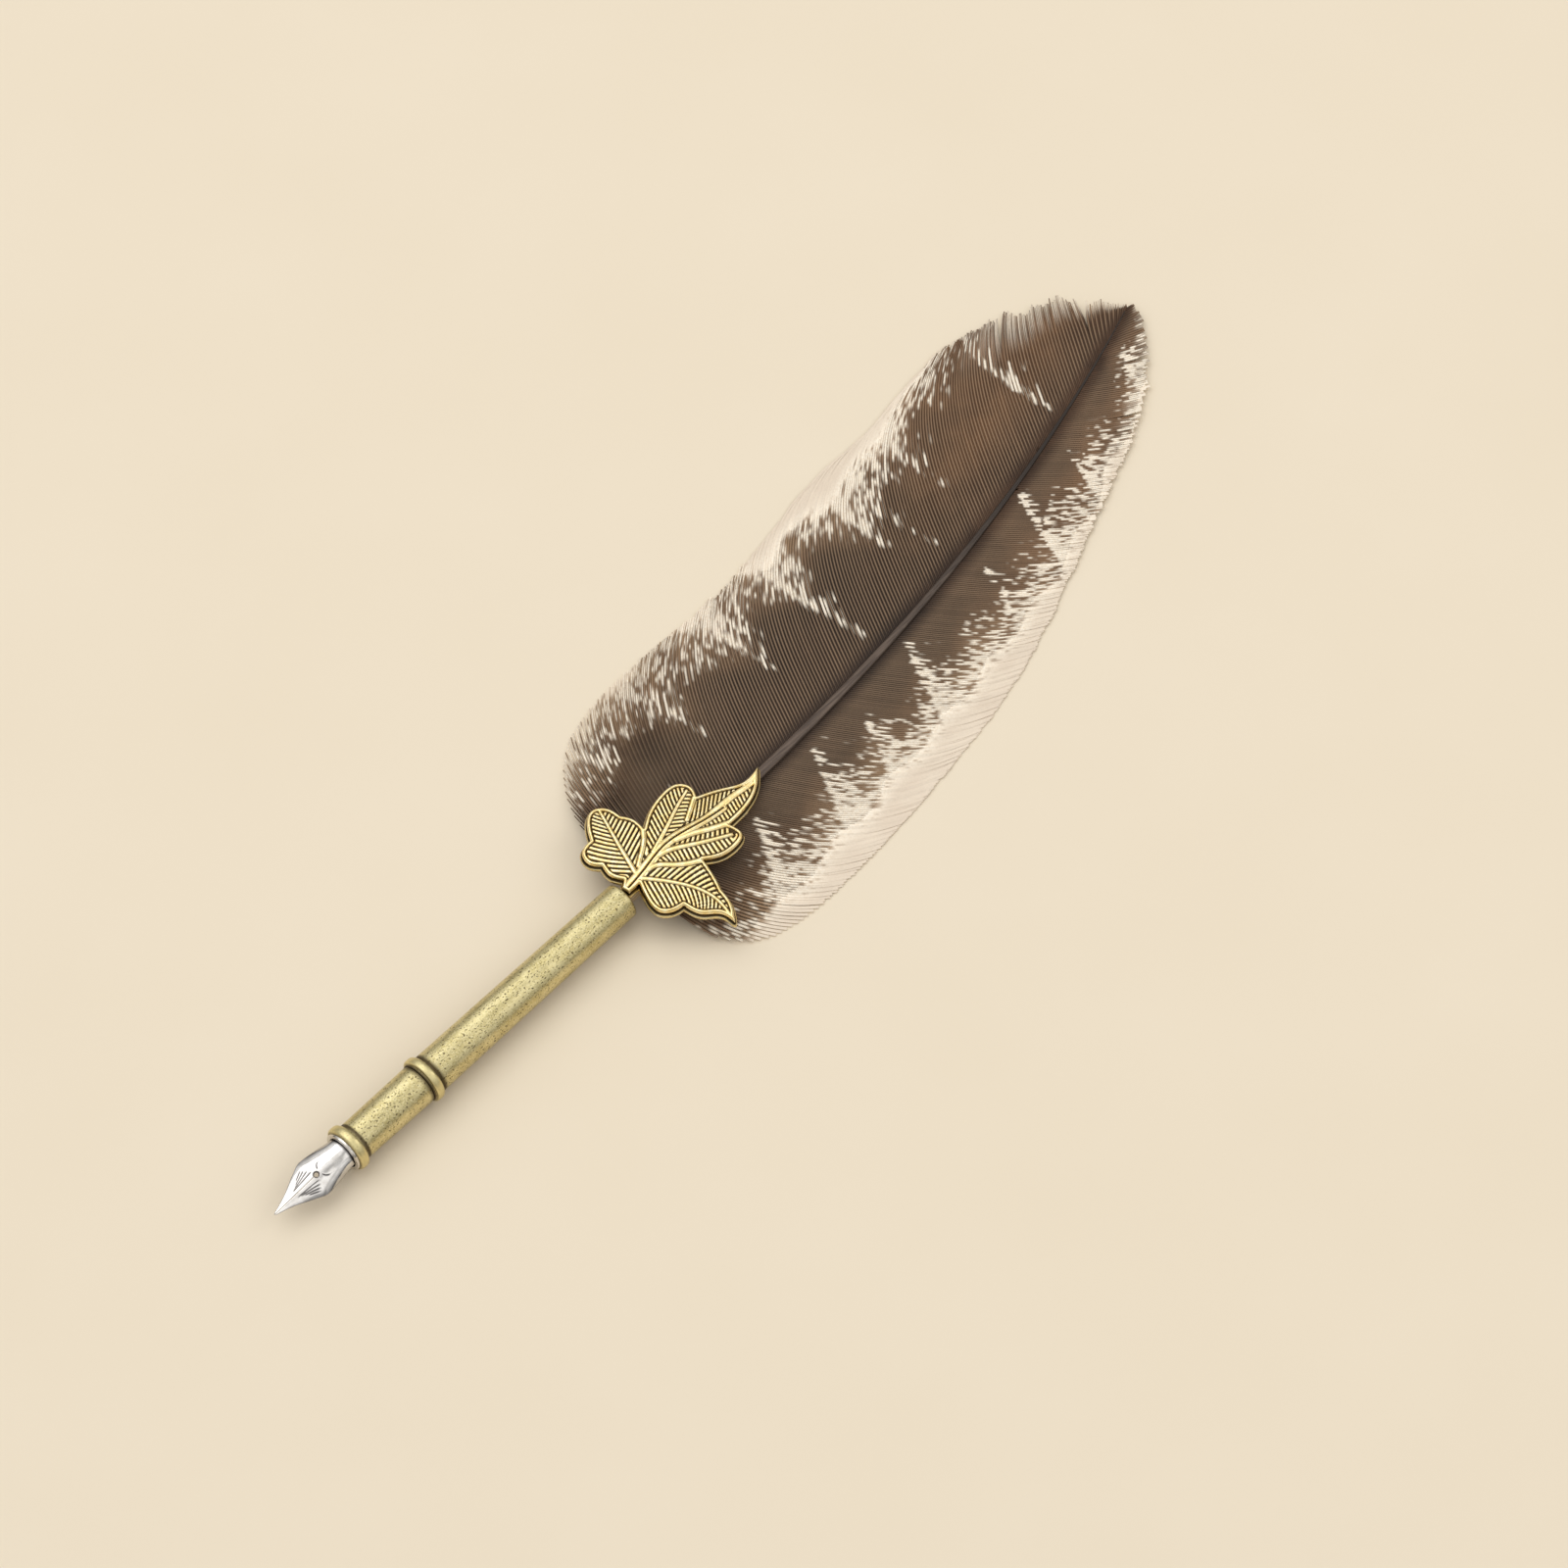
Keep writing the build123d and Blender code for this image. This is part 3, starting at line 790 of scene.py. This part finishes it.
# Where each lobe lies, as a loose polygon that meets its neighbours along the bands.
LOBE_AREAS = [
    [(92.5, 0.7), *LEFT_BAND, (101, 9), (101, 18), (84, 18), (84, -0.5), (90, 0.2)],
    [
        *LEFT_BAND, (101, 9), (106, 12), (114, 10), (112.6, 4.2),
        *UPPER_BAND[::-1], (102, 1), (98, 0.9),
    ],
    [*UPPER_BAND, (112.6, 4.2), (128, 2), (128, -4), (113, -5.5), *LONG_BAND[::-1]],
    [*LONG_BAND, (113, -5.5), (114, -10), (104, -10), *LOW_BAND[::-1], (97, 0.3)],
    [*LOW_BAND, (104, -10), (104, -22), (86, -22), (86, -3), (91, -1.6), (92, -1)],
]
LEAF_DEPTH = 0.42
STEM_GROOVE_DEPTH = 0.36
HATCH_TOP = 0.1
RIM_WIDTH = 0.62
EDGE_ROUND = 0.4
# The leaf's wall is waisted, with a wider foot: share of the way down, stand out, and
# painted shade on the wall there.
LEAF_LEDGES = [
    (0.3, 0.0, 0.3), (0.42, -0.12, 1.0), (0.52, -0.08, 1.0), (0.6, 0.34, 0.3),
    (0.85, 0.45, 0.3),
]
# Painted shade on the leaf's underside.
LEAF_UNDERSIDE_SHADE = 0.4
CURVE_STEPS = 10


def leaf_top(x, y):
    """Height of the leaf's upper surface before its relief."""
    return LEAF_TOP_Z - LEAF_ARCH_ACROSS * y**2 - LEAF_ARCH_ALONG * (x - LEAF_CENTRE_X) ** 2


def leaf_hatching(flat):
    """Height of the hatch ridges, from 0 between them to 1 on their crests."""
    crest = np.zeros(len(flat))
    for (rib, halves), area in zip(LEAF_LOBES, LOBE_AREAS):
        route = natural_curve(rib, CURVE_STEPS)
        length = gaps(route).sum()
        member = inside(flat, np.array(area, float))
        distance, along, side = nearest(flat[member], route)
        for which, angle_start, angle_end, pitch in halves:
            angle = np.radians(angle_start + (angle_end - angle_start) * along / length)
            phase = (along - distance / np.tan(angle)) / pitch
            wave = 0.5 + 0.5 * np.cos(2 * math.pi * phase)
            value = np.where(side == which, smooth(0.12, 0.6, wave), 0)
            crest[member] = np.maximum(crest[member], value)
    return crest


def leaf_relief(flat, edge_distance):
    """How far each point lies below the leaf's top surface."""
    clear = smooth(RIM_WIDTH + 0.1, RIM_WIDTH + 0.35, edge_distance)
    veins = np.full(len(flat), LEAF_DEPTH)
    for route, start_width, end_width in LEAF_VEINS:
        line = natural_curve(route, CURVE_STEPS)
        distance, along, _ = nearest(flat, line)
        length = gaps(line).sum()
        width = start_width + (end_width - start_width) * along / length
        crown = np.sqrt(np.clip(1 - (distance / width) ** 2, 0, 1))
        veins = np.minimum(veins, LEAF_DEPTH * (1 - crown**0.7))
        clear = clear * smooth(0.0, 0.2, distance - width)
    hatch = LEAF_DEPTH - (LEAF_DEPTH - HATCH_TOP) * leaf_hatching(flat) * clear
    rim = smooth(RIM_WIDTH + 0.12, RIM_WIDTH - 0.14, edge_distance)
    below = np.minimum(hatch, veins) * (1 - rim)
    groove, _, _ = nearest(flat, natural_curve(STEM, CURVE_STEPS))
    below = below + STEM_GROOVE_DEPTH * (1 - smooth(0.1, 0.28, groove)) * (1 - rim)
    inward = np.clip(1 - edge_distance / EDGE_ROUND, 0, 1)
    return below + EDGE_ROUND * (1 - np.sqrt(1 - inward**2))


def make_leaf():
    """The cast leaf with its rim, veins and hatching."""
    outline, start = [], LEAF_EDGES[-1][-1]
    for part in LEAF_EDGES:
        run = natural_curve([start, *part], 40)
        start = part[-1]
        lengths = np.concatenate([[0], np.cumsum(gaps(run))])
        count = max(2, int(lengths[-1] / LEAF_PITCH))
        wanted = np.linspace(0, lengths[-1], count, endpoint=False)
        outline.append(np.stack([np.interp(wanted, lengths, run[:, k]) for k in (0, 1)], -1))
    outline = np.vstack(outline)
    flat, triangles = triangulated(outline, LEAF_PITCH)
    edge_distance = nearest(flat, np.vstack([outline, outline[:1]]))[0]
    below = leaf_relief(flat, edge_distance)
    top = leaf_top(flat[:, 0], flat[:, 1])
    upper = np.column_stack([flat, top - below])
    lower = np.column_stack([flat, top - LEAF_THICKNESS])
    points, faces = sheet_solid(flat, triangles, upper, lower, LEAF_LEDGES)
    recess_and_shade = smooth(HATCH_TOP, LEAF_DEPTH, below) * smooth(0.0, EDGE_ROUND, edge_distance)
    walls = len(points) - 2 * len(flat)
    # The walls and the underside get painted shade in the recess value.
    wall_shade = np.repeat([tone for _, _, tone in LEAF_LEDGES], walls // len(LEAF_LEDGES))
    underside_shade = np.full(len(flat), LEAF_UNDERSIDE_SHADE)
    values = {"recess_and_shade": np.concatenate([recess_and_shade, underside_shade, wall_shade])}
    replaced = ["leaf_charm"]
    add_piece("leaf_cast", points, faces, "barrel", "polished_gold", replaced, gold, values)


make_leaf()

# -------- feather


def make_shaft():
    """The feather's shaft: squarish between the vanes, flat underneath, thinning to a hair."""
    stations = np.linspace(SHAFT_RADII[0][0], SHAFT_RADII[-1][0], SHAFT_RINGS)
    around = SHAFT_SEGMENTS
    centre = shaft_line(stations)
    ahead = np.gradient(centre, axis=0)
    ahead /= np.linalg.norm(ahead, axis=1)[:, None]
    aside = np.cross([0, 0, 1], ahead)
    aside /= np.linalg.norm(aside, axis=1)[:, None]
    above = np.cross(ahead, aside)
    radius = table(SHAFT_RADII, stations)
    feather_part = smooth(SHAFT_STRAIGHT_END, SHAFT_STRAIGHT_END + 20, stations)
    dark_end = smooth(150, 215, stations)
    points, shade_line_and_dark_tip = [], []
    for j in range(around):
        turn = 2 * math.pi * j / around
        across, up = math.cos(turn), math.sin(turn)
        square = (abs(across) ** 3 + abs(up) ** 3) ** (-1 / 3)
        size = radius * (1 + (square - 1) * 0.6 * feather_part)
        size = size * (1 - 0.25 * feather_part * max(0, -up) ** 6)
        points.append(centre + aside * (size * across)[:, None] + above * (size * up)[:, None])
        # Painted shade along one side, and a darker shaft towards the tip.
        shade_line = math.exp(-(((turn - SHADE_LINE_TURN) / 0.2) ** 2))
        shade_line_and_dark_tip.append(SHAFT_DARKENING * np.maximum(shade_line * feather_part, dark_end))
    points = np.stack(points, 1).reshape(-1, 3)
    faces = strip_faces(len(stations), around, False)
    faces += [tuple(range(around)), tuple(range(len(points) - around, len(points)))]
    values = {"slate": np.repeat(feather_part, around), "shade_line_and_dark_tip": np.stack(shade_line_and_dark_tip, 1).ravel()}
    slot, finish = "feather_shaft", shaft_material()
    add_piece("shaft_horn", points, faces, "barrel", slot, [slot], finish, values)


make_shaft()

# A barb is a four-sided strip, tilted a little so that it laps over its neighbour.
BARB_HALF_HEIGHT = 0.07
BARB_TILT = 0.02
BARB_OVERLAP = 1.6
FILM_OVERLAP = 0.4
FIRST_BARB = 92.4
LAST_BARB = 250.2
SHEET_HALF = 0.2
PROBE_STEP = 0.5
FLOOR_GAP = 0.02
RIDGE_LIFT = 0.09
WAVE_LIFT = 0.1
TIP_LIFT = 0.2
SPLIT_REACH = 3.5
SPLIT_LIFT = 2.5
# crest: strength of the painted highlight along the crests of the ridges.
# pitch: distance between barbs, of which every nth is a ridge. fleck: its length.
# scallop: slanted place, spacing and depth of the waves in the edge of the dark part.
# bend: how far a barb turns towards the tip in degrees, at which reach, and its curve's power.
# longer: station, and how far the barbs stand out past the CAD vane.
# angles: station, and direction in degrees.
# bars: pale bars across the barbs, as slanted place, width, first reach and strength.
# mottle: station, reach where the pale flecks start, and reach where all is pale.
# ragged: station, and how uneven the barbs' lengths are. splits: station, opening in radians and
# first reach.
BROAD = {
    "name": "broad_barbs",
    "cad": "broad_vane",
    "side": 1,
    "seed": 11,
    "longest": 58,
    "parts": 50,
    "pitch": 0.325,
    "every": 2,
    "crest": 0.78,
    "plain_reach": 1.0,
    "taper": 0.6,
    "fleck": 3.5,
    "scallop": (163, 17.3, 3.5),
    "slant": 0.6,
    "bend": (26, 38, 2.2),
    "longer": [(92, 0), (252, 0)],
    "angles": [
        (92, 88), (100, 74), (112, 67), (160, 63), (215, 60), (238, 56), (246, 44), (252, 26),
    ],
    "bars": [
        (115, 1.2, 10, 0.3), (128, 1.2, 12, 0.3), (147, 2.0, 13, 0.75), (162, 1.6, 4, 0.8),
        (181, 3.2, 15, 0.8), (186.5, 0.8, 6, 0.55), (198, 2.2, 14, 0.6), (224, 1.4, 3, 0.75),
    ],
    "mottle": [
        (92, 14, 36), (100, 15, 48), (110, 18, 52), (120, 18, 52), (130, 20, 52),
        (140, 22, 47), (150, 23, 46), (160, 22, 47), (170, 19, 50), (180, 21, 60),
        (190, 23, 70), (200, 25, 84), (215, 26, 84), (235, 14, 44), (245, 5, 30), (252, 0, 16),
    ],
    "ragged": [(92, 0.3), (104, 0.5), (120, 1.3), (200, 1.6), (252, 2.4)],
    "splits": [(213, 0.05, 20), (238.5, 0.16, 5)],
}
NARROW = {
    "name": "narrow_barbs",
    "cad": "narrow_vane",
    "side": -1,
    "seed": 23,
    "longest": 46,
    "parts": 52,
    "pitch": 0.42,
    "every": 1,
    "crest": 0.55,
    "plain_reach": 0.5,
    "taper": 0.3,
    "fleck": 2.8,
    "scallop": (151, 15.0, 1.5),
    "slant": 1.0,
    "bend": (22, 24, 1.5),
    "longer": [(208, 0), (230, 1.8), (252, 1.0)],
    "angles": [
        (92, -85), (99, -70), (108, -62), (130, -57), (190, -50), (215, -44), (236, -34), (252, -8),
    ],
    "bars": [
        (121, 3.0, 5, 0.75), (138, 3.5, 4, 0.8), (151, 3.0, 7, 0.7), (166, 4.0, 3, 0.75),
        (190, 1.4, 5, 0.45), (205, 2.4, 2, 0.85), (220, 3.0, 5, 0.75), (242, 3.5, 5, 0.8),
    ],
    "mottle": [
        (92, 7, 24), (100, 8, 29.5), (120, 8, 29.5), (140, 8, 28), (180, 7, 26), (200, 6, 23),
        (210, 6, 20), (225, 5, 19), (235, 3, 17), (244, 1, 13), (252, 0, 9),
    ],
    "ragged": [(92, 0.2), (110, 0.4), (200, 0.6), (225, 1.6), (252, 2.4)],
    "splits": [(222, 0.08, 8), (236, 0.12, 4)],
}


def value_noise(rng, u, v):
    """Smooth random values from 0 to 1, with features about 1 across in u and in v."""
    u, v = np.broadcast_arrays(np.asarray(u, float), np.asarray(v, float))
    coarse = rng.random((int(u.max()) + 2, int(v.max()) + 2))
    i, j = u.astype(int), v.astype(int)
    a, b = smooth(0, 1, u - i), smooth(0, 1, v - j)
    near = coarse[i, j] * (1 - b) + coarse[i, j + 1] * b
    far = coarse[i + 1, j] * (1 - b) + coarse[i + 1, j + 1] * b
    return near * (1 - a) + far * a


def barb_roots(vane):
    """Stations at which barbs leave the shaft, an even distance apart across the barbs."""
    stations = [FIRST_BARB]
    while stations[-1] < LAST_BARB:
        x = stations[-1]
        ahead = shaft_line(x + 0.5) - shaft_line(x - 0.5)
        lean = math.radians(table(vane["angles"], x)) - math.atan2(ahead[1], ahead[0])
        stations.append(x + vane["pitch"] / max(0.25, abs(math.sin(lean))))
    return np.array(stations)


def barb_swing(vane, rng, roots, reach):
    """Extra turn of each barb along its reach: loose waves, and splits in the vane's margin."""
    order = np.arange(len(roots))[:, None]
    wave = 0.1 * (value_noise(rng, order / 26, 0) - 0.5)
    wave = wave + 0.04 * (value_noise(rng, order / 7, 0) - 0.5)
    swing = wave * (reach / vane["longest"]) ** 2
    for place, opening, start in vane["splits"]:
        gap = (roots - place)[:, None]
        beside = np.sign(gap) * np.exp(-np.abs(gap) / SPLIT_REACH)
        swing = swing - opening * beside * smooth(start, start + 9, reach)
    return vane["side"] * swing


def barb_paths(vane, rng, roots, reach):
    """Plan of every barb at the given reaches, as an array of barbs by points by (x, y)."""
    most, bend_reach, power = vane["bend"]
    bend = vane["side"] * math.radians(most) * (reach / bend_reach) ** power
    lean = np.radians(table(vane["angles"], roots))[:, None]
    heading = lean - bend[None, :] + barb_swing(vane, rng, roots, reach[None, :])
    ahead = np.stack([np.cos(heading), np.sin(heading)], -1)
    steps = (ahead[:, 1:] + ahead[:, :-1]) / 2 * np.diff(reach)[None, :, None]
    start = shaft_line(roots)[:, None, :2]
    return np.concatenate([start, start + np.cumsum(steps, 1)], 1)


def sheet_under(node_name):
    """A function that gives the height of the CAD vane's middle at a place, or None off it."""
    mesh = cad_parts[node_name].data
    tree = BVHTree.FromPolygons([v.co for v in mesh.vertices], [p.vertices for p in mesh.polygons])

    def height(x, y):
        start = Vector((ORIGIN[0] + x * MM, ORIGIN[1] + y * MM, 1.0))
        hit = tree.ray_cast(start, Vector((0, 0, -1)))[0]
        return None if hit is None else hit.z / MM - SHEET_HALF

    return height


def barb_lines(vane, rng, roots):
    """Middle line of every barb on the CAD vane, its reach at each point, and its length."""
    probe = np.arange(0, vane["longest"], PROBE_STEP)
    paths = barb_paths(vane, rng, roots, probe)
    height = sheet_under(vane["cad"])
    lengths, heights = [], []
    for path in paths:
        found = [height(*place) for place in path]
        on = [k for k, value in enumerate(found) if value is not None]
        heights.append(np.interp(probe, probe[on], [found[k] for k in on]))
        lengths.append(probe[on[-1]])
    lengths = np.array(lengths)
    order = np.arange(len(roots))
    clump = value_noise(rng, order / 6, 0) + 0.7 * rng.random(len(roots)) - 0.95
    lengths = lengths + clump * table(vane["ragged"], roots) * smooth(3, 14, lengths)
    lengths = np.maximum(2.0, lengths + table(vane["longer"], roots))
    reach = lengths[:, None] * np.linspace(0, 1, vane["parts"] + 1)
    lines = [
        np.stack([np.interp(r, probe, column) for column in (p[:, 0], p[:, 1], h)], -1)
        for r, p, h in zip(reach, paths, heights)
    ]
    return np.array(lines), reach, lengths


def pale_flecks(vane, rng, station, reach):
    """How pale each point is: flecks crowd together in bars across the barbs and at the margin."""
    slanted = station + vane["slant"] * reach
    dark = np.ones_like(reach)
    for place, width, first, strength in vane["bars"]:
        past = slanted - place
        fade_width = width * (0.5 + 1.2 * smooth(first, first + 20, reach))
        fade = np.exp(-np.maximum(past, 0) / fade_width)
        bar = strength * smooth(-1.2, 0.3, past) * fade
        dark = dark * (1 - bar * smooth(first - 1, first + 1.5, reach))
    place, spacing, depth = vane["scallop"]
    wave = depth * np.cos(2 * math.pi * (slanted - place) / spacing)
    start = table(vane["mottle"], station, 1) - wave
    full = table(vane["mottle"], station, 2) - 0.5 * wave
    margin = np.clip((reach - start) / (full - start), 0, 1)
    share = 1 - dark * (1 - margin**1.5)
    # Each barb has streaks of its own, which only lean towards its neighbours' streaks.
    barb = np.arange(len(reach))[:, None]
    offset = rng.random(len(reach))[:, None]
    own = value_noise(rng, barb, reach / vane["fleck"] + offset)
    fine = value_noise(rng, barb, 2.2 * reach / vane["fleck"] + offset)
    shared = value_noise(rng, barb / (2.5 * vane["every"]), reach / (1.5 * vane["fleck"]))
    grain = np.where(margin > 0.2, fine + 0.15 * shared, own + 0.4 * shared)
    grain = (grain.ravel().argsort().argsort() / grain.size).reshape(grain.shape)
    soft = 0.08 + 0.14 * smooth(0.1, 0.6, margin)
    pale = smooth(-1, 1, (share * (1 + 2 * soft) - soft - grain) / soft)
    beside = barb % vane["every"] > 0
    return pale * np.where(beside, 0.45 + 0.55 * margin, 1), margin


def make_vane(vane):
    """One vane as separate closed barbs that follow the CAD vane's sheet."""
    rng = np.random.default_rng(vane["seed"])
    roots = barb_roots(vane)
    lines, reach, lengths = barb_lines(vane, rng, roots)
    count, parts = len(roots), vane["parts"]
    order = np.arange(count)[:, None]
    station = np.repeat(roots[:, None], parts + 1, 1)
    along = np.gradient(lines[..., :2], axis=1)
    along /= np.maximum(np.linalg.norm(along, axis=2), 1e-9)[..., None]
    across = np.stack([-along[..., 1], along[..., 0]], -1)
    # Every nth barb is a ridge, apart from a smooth band beside the shaft.
    plain = vane["plain_reach"]
    raised = (order % vane["every"] == 0) * smooth(plain, plain + 4, reach)
    tip = smooth(0.68, 1.0, reach / lengths[:, None])
    pale, margin = pale_flecks(vane, rng, station, reach)
    film = smooth(0.65, 0.95, margin)
    lift = RIDGE_LIFT * raised * (1 - 0.8 * film)
    lift = lift + WAVE_LIFT * (value_noise(rng, order / 34, reach / 8) - 0.5)
    lift = lift + TIP_LIFT * tip * (rng.random((count, 1)) - 0.3)
    for place, opening, start in vane["splits"]:
        gap = station - place
        beside = (gap > 0) * np.exp(-np.abs(gap) / 2.5)
        lift = lift + SPLIT_LIFT * opening * beside * smooth(start, start + 6, reach)
    overlap = BARB_OVERLAP + FILM_OVERLAP * film
    half_width = 0.5 * vane["pitch"] * overlap * (1 - vane["taper"] * tip)
    half_height = BARB_HALF_HEIGHT * (1 - 0.5 * tip) * (1 + 0.3 * raised) * (1 - 0.75 * film)
    middle = np.maximum(lines[..., 2] + lift, half_height + BARB_TILT + FLOOR_GAP)
    tilt = BARB_TILT * vane["side"] * (1 - film)
    corners = []
    for push, rise in ((1, tilt), (0, half_height), (-1, -tilt), (0, -half_height)):
        place = lines[..., :2] + across * (half_width * push)[..., None]
        corners.append(np.concatenate([place, (middle + rise)[..., None]], -1))
    points = np.stack(corners, 2).reshape(-1, 3)
    one_barb = strip_faces(parts + 1, 4, False)
    one_barb += [(0, 1, 2, 3), tuple(parts * 4 + k for k in range(4))]
    first_points = 4 * (parts + 1) * np.arange(count)[:, None, None]
    faces = (np.array(one_barb)[None] + first_points).reshape(-1, 4)
    # Colour, with a painted highlight line only along the ridges' crests.
    warm = smooth(158, 205, station) * (0.25 + 0.7 * smooth(3, 20, reach))
    warm = np.clip(warm + 0.35 * smooth(0.0, 0.3, margin), 0, 1) * (1 - 0.6 * margin)
    frayed = tip * smooth(195, 215, station)
    base = 0.16 * (1 - smooth(104, 132, station))
    tan = np.max([smooth(0.0, 0.7, margin), frayed, base], axis=0)
    pale = np.maximum(pale, frayed * rng.random((count, 1)))
    # Painted highlight along the crests of the raised barbs, weaker where pale or tan.
    crest = vane["crest"] * raised * (1 - pale) * (1 - 0.7 * tan)
    crest = crest * (0.35 + 0.65 * smooth(100, 122, station))
    shade = 0.7 + (rng.random((count, 1)) - 0.7) * (1 - 0.7 * film)
    values = {"pale": pale, "warm": warm, "tan": tan, "shade": shade, "film": film}
    values = {key: np.repeat(value.ravel(), 4) for key, value in values.items()}
    values["crest_highlight"] = np.stack([0.1 * crest, crest, 0.1 * crest, 0 * crest], -1).ravel()
    about = "barrel", "feather_vane", [vane["cad"]], barb_finish, values
    piece = add_piece(vane["name"], points, faces.tolist(), *about)
    # The clear margin is so smooth that its barbs show no roundness.
    rounded_faces = np.repeat(True, len(faces)).reshape(count, len(one_barb))
    rounded_faces[:, : 4 * parts] = np.repeat(film[:, 1:] < 0.1, 4, axis=1)
    piece.data.polygons.foreach_set("use_smooth", rounded_faces.ravel())


barb_finish = barb_material()
make_vane(BROAD)
make_vane(NARROW)

# -------- stage, light and camera


def make_floor():
    """A plain pale floor."""
    half = 2.0
    mesh = bpy.data.meshes.new("floor")
    corners = [(-half, -half, 0), (half, -half, 0), (half, half, 0), (-half, half, 0)]
    mesh.from_pydata(corners, [], [(0, 1, 2, 3)])
    material, tree = new_material("floor_finish", Roughness=0.85)
    cloud = noise(tree, millimetres(tree), 0.02, 3.0)
    tone = mix(tree, cloud, (234, 220, 196), (238, 225, 203))
    tree.links.new(tone, tree.nodes["Principled BSDF"].inputs["Base Color"])
    mesh.materials.append(material)
    add_object("floor", mesh)


def make_light(name, place, width, length, power, tint=(1, 1, 1)):
    """A soft rectangular light that faces the pen."""
    data = bpy.data.lights.new(name, "AREA")
    data.shape = "RECTANGLE"
    data.size, data.size_y = width, length
    data.energy = power
    data.color = tint
    light = add_object(name, data)
    light.location = place
    light.rotation_euler = (-Vector(place)).to_track_quat("-Z", "Y").to_euler()


CAMERA_ELEVATION = math.radians(58)
CAMERA_HEADING = math.radians(46.87)
CAMERA_DISTANCE = 1.26
CAMERA_TARGET = Vector((0.0023, -0.0111, 0.0))
CAMERA_LENS = 157.5


def make_camera():
    """The camera looks down at the pen from the nib's side."""
    ahead = Vector((math.sin(CAMERA_HEADING), math.cos(CAMERA_HEADING), 0))
    ahead *= math.cos(CAMERA_ELEVATION)
    ahead.z = -math.sin(CAMERA_ELEVATION)
    data = bpy.data.cameras.new("camera")
    data.lens, data.sensor_width = CAMERA_LENS, 36.0
    data.clip_start, data.clip_end = 0.05, 20
    camera = add_object("camera", data)
    camera.location = CAMERA_TARGET - ahead * CAMERA_DISTANCE
    camera.rotation_mode = "QUATERNION"
    camera.rotation_quaternion = ahead.to_track_quat("-Z", "Y")
    bpy.context.scene.camera = camera


def make_world():
    """Uneven studio light from overhead, as from soft boxes, that fades to the horizon."""
    world = bpy.data.worlds.new("studio")
    world.use_nodes = True
    tree = world.node_tree
    direction = node(tree, "TexCoord").outputs["Generated"]
    height = node(tree, "SeparateXYZ", None, {0: direction}).outputs["Z"]
    overhead = step(tree, height, 0.0, 0.65, 0.2, 0.8)
    boxes = step(tree, noise(tree, direction, 2.2, 1.0), 0.4, 0.6, 0.62, 1.38)
    background = tree.nodes["Background"]
    background.inputs["Color"].default_value = (1.0, 0.99, 0.97, 1.0)
    tree.links.new(times(tree, overhead, boxes), background.inputs["Strength"])
    bpy.context.scene.world = world
    bpy.context.scene.view_settings.view_transform = "Standard"


make_floor()
make_world()
make_light("key_light", (-0.1, 0.5, 1.25), 1.3, 1.1, 4.8)
make_light("fill_light", (0.6, -0.5, 0.9), 0.5, 0.5, 1.2, (1.0, 0.97, 0.93))
make_camera()
